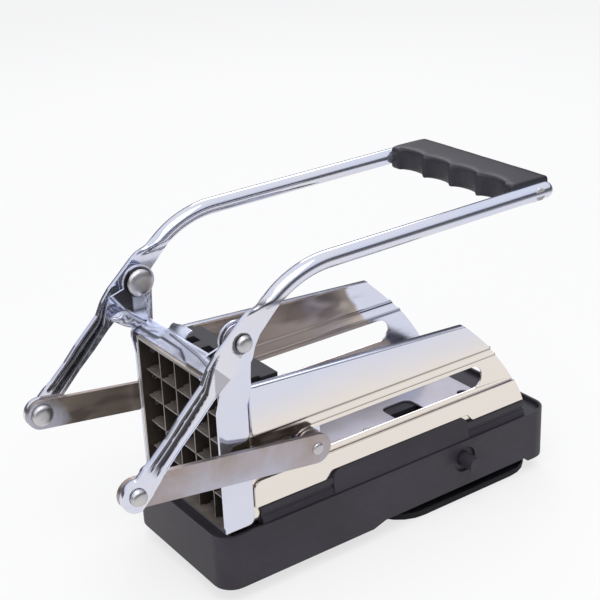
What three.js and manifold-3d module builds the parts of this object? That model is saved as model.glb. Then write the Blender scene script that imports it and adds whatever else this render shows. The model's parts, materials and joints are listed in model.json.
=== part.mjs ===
// French fry cutter: a lever drives a pusher block through a blade grid, on a suction base.
// Millimetres, +Z up. X runs from the blade end to the rear, -Y is the near side of the
// photo, and Z is measured from the table. While it is built, X = 0 is the front edge of
// the blades and Y = 0 the middle plane; the last lines centre the footprint on the origin.

import * as THREE from 'three';
import { mergeVertices } from 'three/addons/utils/BufferGeometryUtils.js';
import Module from 'manifold-3d';

const wasm = await Module();
wasm.setup();

// Clearances and drawing fineness
const clearance = 0.3;
const overrun = 6;
const mergeDistance = 0.0001;
const arcStepAngle = Math.PI / 12;
const roundSegments = 24;
const boreSegments = 16;
const roundEndShare = 0.999;
const straightTolerance = 0.004;

// Blade grid
const cells = 5;
const cellPitch = 13;
const gridBottom = 33;
const bladeDepth = 8;
const bladeThickness = 0.8;
const bladeTabWidth = 3;
const bladeTabLength = 1.2;
const gridHalf = (cells * cellPitch) / 2;
const gridTop = gridBottom + cells * cellPitch;
const gridCrown = 2.1;
const gridCeiling = gridTop + gridCrown;

// Blade frame
const frameWall = 1.3;
const frameLip = 2.6;
const frameTail = 1.4;
const cheekHoleX = 4;
const cheekHoleRadius = 1.5;
const cheekHoleLift = 1.5;
const frameInnerHalf = gridHalf + clearance;
const frameOuterHalf = frameInnerHalf + frameWall;
const frameBottom = gridBottom - clearance - frameWall;
const frameTop = gridCeiling + clearance + frameWall;
const frameRear = bladeDepth + frameTail;

// Trough sheet
const sheet = 1;
const wallGap = 0.4;
const wallInner = frameOuterHalf + wallGap;
const wallOuter = wallInner + sheet;
const wallFront = -2.4;
const wallRear = 169;
const wallSweep = 41.5;
const sweepPower = 1.65;
const sweepSteps = 10;
const wallBottom = frameBottom;
const creaseLow = 71;
const creaseHigh = 76.3;
const bulgeFront = 9.9;
const bulgeReach = 3;
const bulgeFullShare = 0.45;
const bulgeUpperShare = 0.8;
const bulgeNeckShare = 0.95;
const crestOver = 1.4;
const crestHeight = gridTop + crestOver;
const crestInset = 1.9;
const crestHem = 1.3;
const crestDrop = 7;

// Slots in the walls, where the pusher pin runs
const slotFront = 4;
const slotRear = 140.4;
const slotHeight = 11.6;
const slotMid = 63;

// Trough floor
const floorFront = frameRear + clearance;
const floorRear = 167.6;
const floorWindowMid = 126;
const floorWindowLong = 9;
const floorWindowWide = 13;
const floorWindowCorner = 4;
const floorHoleX = 161;
const floorHoleRadius = 3.1;

// Side skirts over the walls
const skirtInner = wallOuter + clearance;
const skirtOuter = skirtInner + sheet;
const skirtFront = 10.2;
const skirtBottom = 41.7;
const skirtTop = 54.3;
const skirtCorner = 4;
const scallopFront = 50.5;
const scallopRear = 130.5;
const scallopRise = 3.8;
const scallopSlope = 3.2;
const scallopCorner = 2;

// Pivot plates at the blade end
const pivotPlate = 1.6;
const pivotPlateInner = wallOuter + clearance;
const pivotPlateOuter = pivotPlateInner + pivotPlate;
const nearPlateFront = -5.6;
const farPlateFront = -2.5;
const pivotPlateRear = 8.9;
const pivotPlateBottom = 35.4;
const pivotNotchFront = -1;
const pivotNotchTop = 75.6;
const pivotNotchBottom = 59.2;
const pivotStrapFront = 1.4;
const nearShoulder = 105;
const farShoulder = 99;
const pivotEarRadius = 6.8;
const flareOut = 3.7;
const flareLow = 92;
const flareHigh = 101;
const plateCorner = 3;

// Lever mechanism: pivot, link pin on the lever, link pin on the pusher
const pivotX = 3.6;
const pivotZ = 124.2;
const crankPinX = -48.2;
const crankPinZ = 74.6;
const pusherPinX = 39.2;
const pusherPinZ = slotMid;

// Lock bracket over the cartridge
const lockSheet = 1.2;
const strapInner = pivotPlateInner + flareOut;
const strapOuter = strapInner + pivotPlate;
const lockEarOuter = strapInner - clearance;
const lockEarInner = lockEarOuter - lockSheet;
const lockEarRadius = 7.8;
const lockToeX = -13;
const lockToeZ = 111.2;
const lockNotchX = -4.8;
const lockNotchZ = 113.6;
const lockBrowX = -10.7;
const lockBrowZ = 122;
const lockSillX = -3.4;
const lockSillZ = 104.4;
const lockHeelX = 2.2;
const lockHeelZ = 102.6;
const lockBackX = 6.8;
const lockBackZ = 105.6;
const lockStripHalf = lockEarInner + lockSheet / 2;
const lockStripFront = -0.9;
const lockStripLow = 102.2;
const lockStripRear = 6.4;
const lockStripHigh = 104.9;
const lockTabMid = 15.5;
const lockTabHalf = 6.5;
const lockTabRise = 4.6;
const lockTabLean = 3.4;
const lockWrapInner = 35.4;
const lockTabRoot = 0.6;

// Washers, arms and rivets
const armThickness = 2.6;
const washerInner = strapOuter + clearance;
const washerThickness = 1.6;
const washerOuter = washerInner + washerThickness;
const washerRadius = 5.2;
const armInner = washerOuter + clearance;
const armOuter = armInner + armThickness;
const armMid = (armInner + armOuter) / 2;
const linkThickness = 2.2;
const linkOuter = armInner - clearance;
const linkInner = linkOuter - linkThickness;
const linkHalf = 6.8;
const rivetShank = 2.5;
const rivetOuterHead = 3.7;
const pivotInnerHead = 6.3;
const crankInnerHead = 5.1;
const rivetOuterRise = 2.1;
const rivetInnerRise = 2.2;
const linkEndHead = 2.8;
const linkEndRise = 0.9;
const domeSteps = 3;

// Lever arm outline, along the line from the crank pin to the pivot
const armHalf = 4.9;
const armEyeRadius = 7;
const plateFrontHalf = 6.8;
const plateRearHalf = 7.6;
const tubeRadius = 3.8;
const armPlateStart = 21.5;
const armPlateFull = 13.6;
const armPlateRearFull = 7.9;
const armPlateEnd = 12.9;
const armTubeStart = 17;
const armGrooveWidth = 1;
const armGrooveDepth = 3.2;

// Handle tube and grip
const tubeCorner = 34.7;
const tubeBendRadius = 46;
const tubeRise = 0.0175;
const tubeStraight = 139.5;
const tubeSides = 16;
const tubeSteps = 60;
const tubeBendSteps = 8;
const gripRear = 173.2;
const gripLength = 22.8;
const gripFront = gripRear - gripLength;
const gripThickness = 11.6;
const gripMidZ = 150.5;
const gripScallops = 4;
const gripScallopWidth = 19.2;
const gripScallopDepth = 4;
const gripCorner = 4;
const gripBevel = 1.4;
const gripBevelSteps = 2;
const gripNest = 2.2;
const gripHalf = armMid - gripNest;
const gripScrewInset = 10.8;
const gripScrewX = gripRear - gripScrewInset;
const screwShank = 1.5;
const screwHead = 2.8;
const screwHeadHeight = 1;
const gripScrewDepth = 12;

// Pusher
const pusherRear = 28.2;
const pusherPlate = 8.5;
const pusherGap = 1;
const pusherHalf = gridHalf - pusherGap;
const pusherTop = 98.9;
const pusherFootGap = 0.6;
const postLength = 8.2;
const postWidth = 7;
const carriageSheet = 1.2;
const carriageGap = 0.7;
const carriageOuter = wallInner - carriageGap;
const carriageFront = 24;
const carriageRear = 47;
const carriageHalfHeight = 14.5;
const carriageCorner = 3;
const pinRadius = 2.8;
const bushGap = 0.4;
const bushRadius = slotHeight / 2 - bushGap;
const bushFlange = 6.7;
const bushFlangeWidth = 1.3;
const carriageScrewHeight = 9;
const carriageScrewSpread = 18;

// Base
const baseFront = -9;
const baseRear = 183;
const baseMargin = 2.4;
const baseHalf = skirtOuter + baseMargin;
const baseBottom = 7.5;
const baseLipTop = 33.6;
const baseRecess = frameBottom - clearance;
const basePlatform = gridBottom - sheet - clearance;
const baseCorner = 9;
const baseLip = 1.3;
const lipInner = baseHalf - baseLip;
const baseWall = 3;
const baseDeck = 3;
const baseRib = 2.5;
const baseLongCount = 8;
const baseWideCount = 3;
const footRow = 1;
const screwRows = [2, 4];
const archFront = 78.5;
const archRear = 167;
const archRise = 2.2;
const archSlope = 7;
const railInset = 2;
const railOuter = baseHalf - railInset;
const railGroove = 0.7;
const railTop = skirtBottom - clearance;
const railBand = 3;
const railGrooveHeight = 2;
const ledgeOut = 1;
const railFront = 13;
const railRear = 167;
const bossInset = 0.8;
const bossOut = baseHalf - bossInset;
const bossLean = 1.5;
const bossTopOut = bossOut - bossLean;
const bossCorner = 5;

// Suction gear
const shaftX = 127;
const shaftZ = 24;
const shaftRadius = 3.5;
const shaftProud = 7.8;
const camRadius = 4.5;
const camOffset = 1;
const camHalf = 5;
const shaftRecessRadius = 6.5;
const shaftRecessDepth = 1.4;
const yokeHalfLength = 8.6;
const yokeHalfWidth = 5.5;
const yokeBar = 1.6;
const yokeClearance = 0.4;
const yokePlateHalf = 10;
const yokePlate = 1.8;
const wellHalf = 11.5;
const hatchMargin = 1;
const suctionLeverGap = 5;
const suctionLeverThickness = 4;
const suctionLeverInner = baseHalf + suctionLeverGap;
const suctionLeverOuter = suctionLeverInner + suctionLeverThickness;
const suctionHub = 6;
const suctionLeverLength = 28;
const suctionLeverHalf = 3.6;

// Suction pad and front feet
const padMid = 132.8;
const padHalfLength = 48.2;
const padHalfWidth = 35.8;
const padCorner = 20;
const padEdge = 3.4;
const padCrown = 4.4;
const padCrownInset = 9;
const padDishInset = 5;
const padDish = 1.4;
const footX = 28;
const footY = 16;
const footRadius = 7.5;
const footPlug = 4;
const footPlugHeight = 6;
const baseScrewShank = 1.7;
const baseScrewHead = 3.6;
const baseScrewSeat = 12;
const baseScrewHeadHeight = 2.4;

// Finishes
const finishes = {
  polishedSteel: { color: 0xdcdce6, roughness: 0.12, metalness: 1 },
  satinSteel: { color: 0xb4aea8, roughness: 0.38, metalness: 1 },
  bladeSteel: { color: 0xc6c6ca, roughness: 0.28, metalness: 1 },
  rivetSteel: { color: 0xd0ced2, roughness: 0.3, metalness: 1 },
  basePlastic: { color: 0x4a484f, roughness: 0.55, metalness: 0 },
  gripPlastic: { color: 0x55535c, roughness: 0.5, metalness: 0 },
  pusherPlastic: { color: 0x35343a, roughness: 0.5, metalness: 0 },
  rubber: { color: 0x2b2b30, roughness: 0.8, metalness: 0 },
};

const model = new THREE.Group();
const sides = [
  { word: 'near', sign: -1 },
  { word: 'far', sign: 1 },
];

// Closed manifold solid from a three.js geometry, turned outside out if it is inside out.
function solid(geometry) {
  const plain = geometry.clone();
  plain.deleteAttribute('normal');
  plain.deleteAttribute('uv');
  const merged = mergeVertices(plain, mergeDistance);
  const vertProperties = new Float32Array(merged.attributes.position.array);
  const triVerts = new Uint32Array(merged.index.array);
  if (signedVolume(vertProperties, triVerts) < 0) {
    triVerts.reverse();
  }
  return new wasm.Manifold(new wasm.Mesh({ numProp: 3, vertProperties, triVerts }));
}

function signedVolume(points, triangles) {
  const corner = (index) => new THREE.Vector3().fromArray(points, 3 * triangles[index]);
  let total = 0;
  for (let start = 0; start < triangles.length; start += 3) {
    total += corner(start).dot(corner(start + 1).cross(corner(start + 2)));
  }
  return total;
}

// Outline through corners [across, up, radius]; a corner without a radius stays sharp.
function outline(corners) {
  const points = [];
  corners.forEach(([across, up, radius = 0], index) => {
    const here = new THREE.Vector2(across, up);
    if (radius === 0) {
      points.push(here);
      return;
    }
    const before = corners[(index + corners.length - 1) % corners.length];
    const after = corners[(index + 1) % corners.length];
    const back = new THREE.Vector2(before[0], before[1]).sub(here).normalize();
    const ahead = new THREE.Vector2(after[0], after[1]).sub(here).normalize();
    const halfAngle = Math.acos(back.dot(ahead)) / 2;
    const middle = back.clone().add(ahead).normalize();
    const centre = here.clone().addScaledVector(middle, radius / Math.sin(halfAngle));
    const setback = radius / Math.tan(halfAngle);
    const start = here.clone().addScaledVector(back, setback).sub(centre).angle();
    const end = here.clone().addScaledVector(ahead, setback).sub(centre).angle();
    const sweep = Math.atan2(Math.sin(end - start), Math.cos(end - start));
    points.push(...arc(centre.x, centre.y, radius, start, start + sweep));
  });
  return new THREE.Shape(points);
}

// Points of an arc, both ends included.
function arc(acrossMid, upMid, radius, start, end) {
  const steps = Math.max(1, Math.ceil(Math.abs(end - start) / arcStepAngle));
  const points = [];
  for (let step = 0; step <= steps; step += 1) {
    const angle = start + ((end - start) * step) / steps;
    const across = acrossMid + radius * Math.cos(angle);
    points.push(new THREE.Vector2(across, upMid + radius * Math.sin(angle)));
  }
  return points;
}

function rectangle(left, right, low, high, radius = 0) {
  return outline([
    [left, low, radius],
    [right, low, radius],
    [right, high, radius],
    [left, high, radius],
  ]);
}

function circle(acrossMid, upMid, radius, segments = roundSegments) {
  const points = [];
  for (let step = 0; step < segments; step += 1) {
    const angle = (2 * Math.PI * step) / segments;
    const across = acrossMid + radius * Math.cos(angle);
    points.push(new THREE.Vector2(across, upMid + radius * Math.sin(angle)));
  }
  return new THREE.Shape(points);
}

function extruded(shape, depth) {
  return new THREE.ExtrudeGeometry(shape, { depth, bevelEnabled: false });
}

// Plate with its outline in X and Z, between two Y places.
function sidePlate(shape, yA, yB) {
  const geometry = extruded(shape, Math.abs(yB - yA));
  geometry.rotateX(Math.PI / 2);
  geometry.translate(0, Math.max(yA, yB), 0);
  return solid(geometry);
}

// Plate with its outline in X and Y, between two heights.
function levelPlate(shape, low, high) {
  const geometry = extruded(shape, high - low);
  geometry.translate(0, 0, low);
  return solid(geometry);
}

// Bar with its outline in Y and Z, between two X places.
function longBar(shape, front, rear) {
  return solid(longGeometry(shape, front, rear));
}

function longGeometry(shape, front, rear) {
  const geometry = extruded(shape, rear - front);
  const turn = new THREE.Matrix4();
  turn.makeBasis(
    new THREE.Vector3(0, 1, 0),
    new THREE.Vector3(0, 0, 1),
    new THREE.Vector3(1, 0, 0),
  );
  geometry.applyMatrix4(turn);
  geometry.translate(front, 0, 0);
  return geometry;
}

function box(front, rear, left, right, low, high) {
  return levelPlate(rectangle(front, rear, left, right), low, high);
}

// Round bar along Y.
function crossRod(x, z, radius, yA, yB, segments = roundSegments) {
  return sidePlate(circle(x, z, radius, segments), yA, yB);
}

// Round bar along Z.
function upright(x, y, radius, low, high, segments = roundSegments) {
  return levelPlate(circle(x, y, radius, segments), low, high);
}

// Round piece along Y from a profile of [radius, distance from the middle plane].
function turned(profile, x, z, sign) {
  const points = profile.map(([radius, out]) => new THREE.Vector2(radius, out));
  const geometry = new THREE.LatheGeometry(points, roundSegments);
  if (sign < 0) {
    geometry.rotateZ(Math.PI);
  }
  geometry.translate(x, 0, z);
  return solid(geometry);
}

// Profile points of a domed head, from its rim to its pole.
function dome(radius, rise, face, direction) {
  const points = [];
  for (let step = 0; step <= domeSteps; step += 1) {
    const angle = (Math.PI / 2) * (step / domeSteps);
    const across = step === domeSteps ? 0 : radius * Math.cos(angle);
    points.push([across, face + direction * rise * Math.sin(angle)]);
  }
  return points;
}

// Rivet along Y: domed inner head, shank and domed outer head.
function rivet(x, z, sign, innerFace, innerHead) {
  const outerFace = armOuter + clearance;
  const inner = dome(innerHead, rivetInnerRise, innerFace, -1).reverse();
  const outer = dome(rivetOuterHead, rivetOuterRise, outerFace, 1);
  const profile = [...inner, [rivetShank, innerFace], [rivetShank, outerFace], ...outer];
  return turned(profile, x, z, sign);
}

function unite(first, ...others) {
  return others.reduce((sum, next) => sum.add(next), first);
}

function cut(first, ...others) {
  return others.reduce((rest, next) => rest.subtract(next), first);
}

// Names a solid, gives it its own material and places it in the model; corners that
// stand off a straight run by less than the tolerance are left out.
function place(name, body, finish) {
  const result = body.simplify(straightTolerance).getMesh();
  const geometry = new THREE.BufferGeometry();
  const positions = new THREE.BufferAttribute(new Float32Array(result.vertProperties), 3);
  geometry.setAttribute('position', positions);
  geometry.setIndex(new THREE.BufferAttribute(new Uint32Array(result.triVerts), 1));
  geometry.computeVertexNormals();
  const mesh = new THREE.Mesh(geometry, new THREE.MeshStandardMaterial(finishes[finish]));
  mesh.name = name;
  model.add(mesh);
}

function bladePlace(index, start) {
  return start + index * cellPitch;
}

// Profile of one blade with its end tabs, in depth and length.
function bladeShape(low, high) {
  const tabFront = (bladeDepth - bladeTabWidth) / 2;
  const tabRear = tabFront + bladeTabWidth;
  return outline([
    [0, low],
    [tabFront, low],
    [tabFront, low - bladeTabLength],
    [tabRear, low - bladeTabLength],
    [tabRear, low],
    [bladeDepth, low],
    [bladeDepth, high],
    [tabRear, high],
    [tabRear, high + bladeTabLength],
    [tabFront, high + bladeTabLength],
    [tabFront, high],
    [0, high],
  ]);
}

// Upright blades are notched from the rear and level blades from the front.
function verticalBlade(index) {
  const y = bladePlace(index, -gridHalf);
  const half = bladeThickness / 2;
  let body = sidePlate(bladeShape(gridBottom, gridCeiling), y - half, y + half);
  for (let level = 1; level < cells; level += 1) {
    const z = bladePlace(level, gridBottom);
    const reach = half + clearance;
    const notchFront = bladeDepth / 2 - clearance;
    const notch = box(notchFront, bladeDepth + overrun, y - overrun, y + overrun, z - reach, z + reach);
    body = cut(body, notch);
  }
  return body;
}

function horizontalBlade(index) {
  const z = bladePlace(index, gridBottom);
  const half = bladeThickness / 2;
  let body = levelPlate(bladeShape(-gridHalf, gridHalf), z - half, z + half);
  for (let column = 1; column < cells; column += 1) {
    const y = bladePlace(column, -gridHalf);
    const reach = half + clearance;
    const notchRear = bladeDepth / 2 + clearance;
    const notch = box(-overrun, notchRear, y - reach, y + reach, z - overrun, z + overrun);
    body = cut(body, notch);
  }
  return body;
}

function bladeFrame() {
  const outer = box(-frameLip, frameRear, -frameOuterHalf, frameOuterHalf, frameBottom, frameTop);
  const innerLow = gridBottom - clearance;
  const innerHigh = gridCeiling + clearance;
  const hollow = box(
    -frameLip - overrun,
    frameRear + overrun,
    -frameInnerHalf,
    frameInnerHalf,
    innerLow,
    innerHigh,
  );
  let body = cut(outer, hollow);
  const tabFront = (bladeDepth - bladeTabWidth) / 2 - clearance;
  const tabRear = (bladeDepth + bladeTabWidth) / 2 + clearance;
  const reach = bladeThickness / 2 + clearance;
  for (let index = 1; index < cells; index += 1) {
    const y = bladePlace(index, -gridHalf);
    const z = bladePlace(index, gridBottom);
    const upper = frameTop + overrun;
    const lower = frameBottom - overrun;
    const across = frameOuterHalf + overrun;
    body = cut(body, box(tabFront, tabRear, y - reach, y + reach, lower, upper));
    body = cut(body, box(tabFront, tabRear, -across, across, z - reach, z + reach));
  }
  for (let index = 0; index < cells; index += 1) {
    const z = bladePlace(index, gridBottom) + cellPitch / 2 + cheekHoleLift;
    const across = frameOuterHalf + overrun;
    body = cut(body, crossRod(cheekHoleX, z, cheekHoleRadius, -across, across, boreSegments));
  }
  return body;
}

// Swept rear edge of the walls: X as a power curve of the height.
function rearEdge(z) {
  const share = Math.max(0, (z - wallBottom) / (crestHeight - crestDrop - wallBottom));
  return wallRear - wallSweep * share ** sweepPower;
}

// Points of the rear edge between two heights.
function rearEdgePoints(low, high) {
  const points = [];
  for (let step = 0; step <= sweepSteps; step += 1) {
    const z = low + ((high - low) * step) / sweepSteps;
    points.push([rearEdge(z), z]);
  }
  return points;
}

// Sheet section of the bulged upper panel, outer skin first, as distance out and height.
function bulgeSection() {
  const reach = wallOuter + bulgeReach;
  const rise = crestHeight - creaseHigh;
  const outer = [
    [wallOuter, creaseLow],
    [reach - sheet / 2, creaseHigh],
    [reach, creaseHigh + rise * bulgeFullShare],
    [reach - sheet, creaseHigh + rise * bulgeUpperShare],
    [wallOuter - crestInset / 2, creaseHigh + rise * bulgeNeckShare],
    [wallOuter - crestInset, crestHeight],
    [wallOuter - crestInset - crestHem, crestHeight],
  ];
  const inner = outer.map(([out, z]) => [out - sheet, z]).reverse();
  inner[0] = [wallOuter - crestInset - crestHem, crestHeight - sheet];
  inner[1] = [wallOuter - crestInset - sheet / 2, crestHeight - sheet];
  inner[2] = [inner[2][0], inner[2][1] - sheet / 2];
  return { outer, inner };
}

// Bulged panel along the wall; its crest falls steadily towards the rear.
function bulgePanel(sign) {
  const { outer, inner } = bulgeSection();
  const corners = [...outer, ...inner].map(([out, z]) => [sign * out, z]);
  const geometry = longGeometry(outline(corners), bulgeFront, wallRear);
  const spots = geometry.attributes.position;
  const fallLength = wallRear - wallSweep - bulgeFront;
  for (let index = 0; index < spots.count; index += 1) {
    const along = (spots.getX(index) - bulgeFront) / fallLength;
    const up = Math.max(0, (spots.getZ(index) - creaseHigh) / (crestHeight - creaseHigh));
    spots.setZ(index, spots.getZ(index) - crestDrop * along * up);
  }
  return solid(geometry);
}

function slotCutter(front, rear, yA, yB) {
  const radius = slotHeight / 2;
  const low = slotMid - radius;
  const high = slotMid + radius;
  return sidePlate(rectangle(front, rear, low, high, radius * roundEndShare), yA, yB);
}

function sideWall(sign) {
  const inner = sign * wallInner;
  const outer = sign * wallOuter;
  const lowSheet = rectangle(wallFront, wallRear + overrun, wallBottom, creaseLow + sheet / 2);
  const nose = rectangle(wallFront, bulgeFront + sheet, wallBottom, gridTop);
  const envelope = outline([
    [wallFront - overrun, wallBottom],
    ...rearEdgePoints(wallBottom, crestHeight - crestDrop),
    [rearEdge(crestHeight - crestDrop) - overrun, crestHeight + overrun],
    [wallFront - overrun, crestHeight + overrun],
  ]);
  const body = unite(sidePlate(lowSheet, inner, outer), sidePlate(nose, inner, outer), bulgePanel(sign));
  const reach = sign * (wallOuter + overrun);
  const trimmed = body.intersect(sidePlate(envelope, sign * overrun, reach));
  return cut(trimmed, slotCutter(slotFront, slotRear, sign * overrun, reach));
}

function troughFloor() {
  const half = wallInner - clearance;
  const low = gridBottom - sheet;
  const body = box(floorFront, floorRear, -half, half, low, gridBottom);
  const window = rectangle(
    floorWindowMid - floorWindowLong,
    floorWindowMid + floorWindowLong,
    -floorWindowWide,
    floorWindowWide,
    floorWindowCorner,
  );
  const opening = levelPlate(window, low - overrun, gridBottom + overrun);
  const hole = upright(floorHoleX, 0, floorHoleRadius, low - overrun, gridBottom + overrun, boreSegments);
  const screwHoles = baseScrewPlaces().map((x) => {
    const radius = baseScrewShank + clearance;
    return upright(x, 0, radius, low - overrun, gridBottom + overrun, boreSegments);
  });
  return cut(body, opening, hole, ...screwHoles);
}

function sideSkirt(sign) {
  const scallop = skirtBottom + scallopRise;
  const shape = outline([
    [skirtFront, skirtBottom],
    [scallopFront - scallopSlope, skirtBottom, scallopCorner],
    [scallopFront, scallop, scallopCorner],
    [scallopRear, scallop, scallopCorner],
    [scallopRear + scallopSlope, skirtBottom, scallopCorner],
    ...rearEdgePoints(skirtBottom, skirtTop),
    [skirtFront, skirtTop, skirtCorner],
  ]);
  return sidePlate(shape, sign * skirtInner, sign * skirtOuter);
}

// Plate with its ear; above the trough it flares outwards and goes on as a parallel strap.
function pivotPlateBody(sign) {
  const front = sign < 0 ? nearPlateFront : farPlateFront;
  const shoulder = sign < 0 ? nearShoulder : farShoulder;
  const ear = arc(pivotX, pivotZ, pivotEarRadius, 0, Math.PI).map((point) => [point.x, point.y]);
  const shape = outline([
    [front, pivotPlateBottom],
    [pivotPlateRear, pivotPlateBottom, plateCorner],
    [pivotPlateRear, pivotNotchBottom],
    [pivotNotchFront, pivotNotchBottom, plateCorner],
    [pivotNotchFront, pivotNotchTop, plateCorner],
    [pivotPlateRear, pivotNotchTop, plateCorner],
    [pivotPlateRear, shoulder],
    ...ear,
    [pivotStrapFront - plateCorner, shoulder + plateCorner, plateCorner / 2],
    [front, shoulder, plateCorner / 2],
  ]);
  const top = pivotZ + pivotEarRadius + overrun;
  const section = outline([
    [sign * pivotPlateInner, pivotPlateBottom - overrun],
    [sign * pivotPlateOuter, pivotPlateBottom - overrun],
    [sign * pivotPlateOuter, flareLow],
    [sign * strapOuter, flareHigh],
    [sign * strapOuter, top],
    [sign * strapInner, top],
    [sign * strapInner, flareHigh],
    [sign * pivotPlateInner, flareLow],
  ]);
  const silhouette = sidePlate(shape, sign * overrun, sign * (strapOuter + overrun));
  const bent = longBar(section, front - overrun, pivotPlateRear + overrun);
  return cut(silhouette.intersect(bent), rivetHole(pivotX, pivotZ, sign));
}

function rivetHole(x, z, sign) {
  const radius = rivetShank + clearance;
  return crossRod(x, z, radius, sign * overrun, sign * (armOuter + overrun), boreSegments);
}

// Band of constant thickness between two points of the X-Z plane.
function band(startX, startZ, endX, endZ, thickness, yA, yB) {
  const along = new THREE.Vector2(endX - startX, endZ - startZ).normalize();
  const side = new THREE.Vector2(-along.y, along.x).multiplyScalar(thickness);
  const shape = outline([
    [startX, startZ],
    [endX, endZ],
    [endX + side.x, endZ + side.y],
    [startX + side.x, startZ + side.y],
  ]);
  return sidePlate(shape, yA, yB);
}

function lockEar(sign) {
  const disc = sidePlate(circle(pivotX, pivotZ, lockEarRadius), sign * lockEarInner, sign * lockEarOuter);
  const cheek = sidePlate(
    outline([
      [lockHeelX, lockHeelZ],
      [lockBackX, lockBackZ, plateCorner / 2],
      [pivotX + lockEarRadius / 2, pivotZ - lockEarRadius / 2],
      [pivotX, pivotZ],
      [pivotX - lockEarRadius / 2, pivotZ + lockEarRadius / 2],
      [lockBrowX, lockBrowZ, plateCorner / 2],
      [lockNotchX, lockNotchZ, plateCorner / 2],
      [lockToeX, lockToeZ, plateCorner / 2],
      [lockSillX, lockSillZ, plateCorner],
    ]),
    sign * lockEarInner,
    sign * lockEarOuter,
  );
  const wrapFrom = sign * lockWrapInner;
  const wrapTo = sign * lockEarOuter;
  const sill = band(lockSillX, lockSillZ, lockHeelX, lockHeelZ, lockSheet, wrapFrom, wrapTo);
  const toe = band(lockToeX, lockToeZ, lockSillX, lockSillZ, lockSheet, wrapFrom, wrapTo);
  return cut(unite(disc, cheek, sill, toe), rivetHole(pivotX, pivotZ, sign));
}

function lockBracket() {
  const strip = band(
    lockStripFront,
    lockStripLow,
    lockStripRear,
    lockStripHigh,
    lockSheet,
    -lockStripHalf,
    lockStripHalf,
  );
  const tab = band(
    lockStripRear - lockTabRoot / 2,
    lockStripHigh - lockTabRoot,
    lockStripRear - lockTabRoot / 2 + lockTabLean,
    lockStripHigh + lockTabRise,
    lockSheet,
    lockTabMid - lockTabHalf,
    lockTabMid + lockTabHalf,
  );
  return unite(strip, tab, lockEar(-1), lockEar(1));
}

// Places a point given along and across the line from the crank pin through the pivot.
function onArm(along, across) {
  const direction = new THREE.Vector2(pivotX - crankPinX, pivotZ - crankPinZ).normalize();
  const x = pivotX + direction.x * along - direction.y * across;
  const z = pivotZ + direction.y * along + direction.x * across;
  return [x, z];
}

function armAngle() {
  return Math.atan2(pivotZ - crankPinZ, pivotX - crankPinX);
}

function crankLength() {
  return Math.hypot(pivotX - crankPinX, pivotZ - crankPinZ);
}

// Path of the handle tube: out of the flattened plate, round the bend and back to the grip.
function tubePath(y) {
  const startAngle = armAngle();
  const setback = tubeBendRadius * Math.tan((startAngle - tubeRise) / 2);
  const [startX, startZ] = onArm(armPlateEnd, 0);
  const [cornerX, cornerZ] = onArm(tubeCorner, 0);
  const [bendX, bendZ] = onArm(tubeCorner - setback, 0);
  const path = new THREE.CurvePath();
  const at = (x, z) => new THREE.Vector3(x, y, z);
  path.add(new THREE.LineCurve3(at(startX, startZ), at(bendX, bendZ)));
  const centreX = bendX + tubeBendRadius * Math.sin(startAngle);
  const centreZ = bendZ - tubeBendRadius * Math.cos(startAngle);
  const spot = (angle) => {
    const x = centreX - tubeBendRadius * Math.sin(angle);
    return at(x, centreZ + tubeBendRadius * Math.cos(angle));
  };
  for (let step = 0; step < tubeBendSteps; step += 1) {
    const from = startAngle + ((tubeRise - startAngle) * step) / tubeBendSteps;
    const to = startAngle + ((tubeRise - startAngle) * (step + 1)) / tubeBendSteps;
    path.add(new THREE.LineCurve3(spot(from), spot(to)));
  }
  const end = at(cornerX + tubeStraight, cornerZ + tubeStraight * tubeRise);
  path.add(new THREE.LineCurve3(spot(tubeRise), end));
  return { path, end };
}

function handleTube(y, radius = tubeRadius) {
  const { path, end } = tubePath(y);
  const section = circle(0, 0, radius, tubeSides);
  const settings = { steps: tubeSteps, bevelEnabled: false, extrudePath: path };
  const tube = solid(new THREE.ExtrudeGeometry(section, settings));
  const cap = new THREE.SphereGeometry(radius, tubeSides, tubeSides / 2);
  cap.translate(end.x, end.y, end.z);
  return unite(tube, solid(cap));
}

function armOutline() {
  const eye = crankLength();
  const [eyeX, eyeZ] = onArm(-eye, 0);
  const turn = armAngle();
  const lean = Math.asin(armHalf / armEyeRadius);
  const round = arc(eyeX, eyeZ, armEyeRadius, turn + lean, turn + 2 * Math.PI - lean);
  const eyePoints = round.map((point) => [point.x, point.y]);
  return outline([
    ...eyePoints,
    [...onArm(-armPlateStart, -armHalf), plateCorner],
    [...onArm(-armPlateFull, -armHalf), plateCorner],
    [...onArm(-armPlateRearFull, -plateRearHalf), plateCorner / 2],
    [...onArm(-armPlateRearFull / 2, -plateRearHalf), plateCorner / 2],
    onArm(armPlateFull / 4, -tubeRadius),
    onArm(armTubeStart, -tubeRadius),
    onArm(armTubeStart, tubeRadius),
    [...onArm(armPlateEnd, plateFrontHalf - sheet), plateCorner],
    [...onArm(-armPlateFull, plateFrontHalf), plateCorner],
    [...onArm(-armPlateStart, armHalf), plateCorner],
  ]);
}

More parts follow.
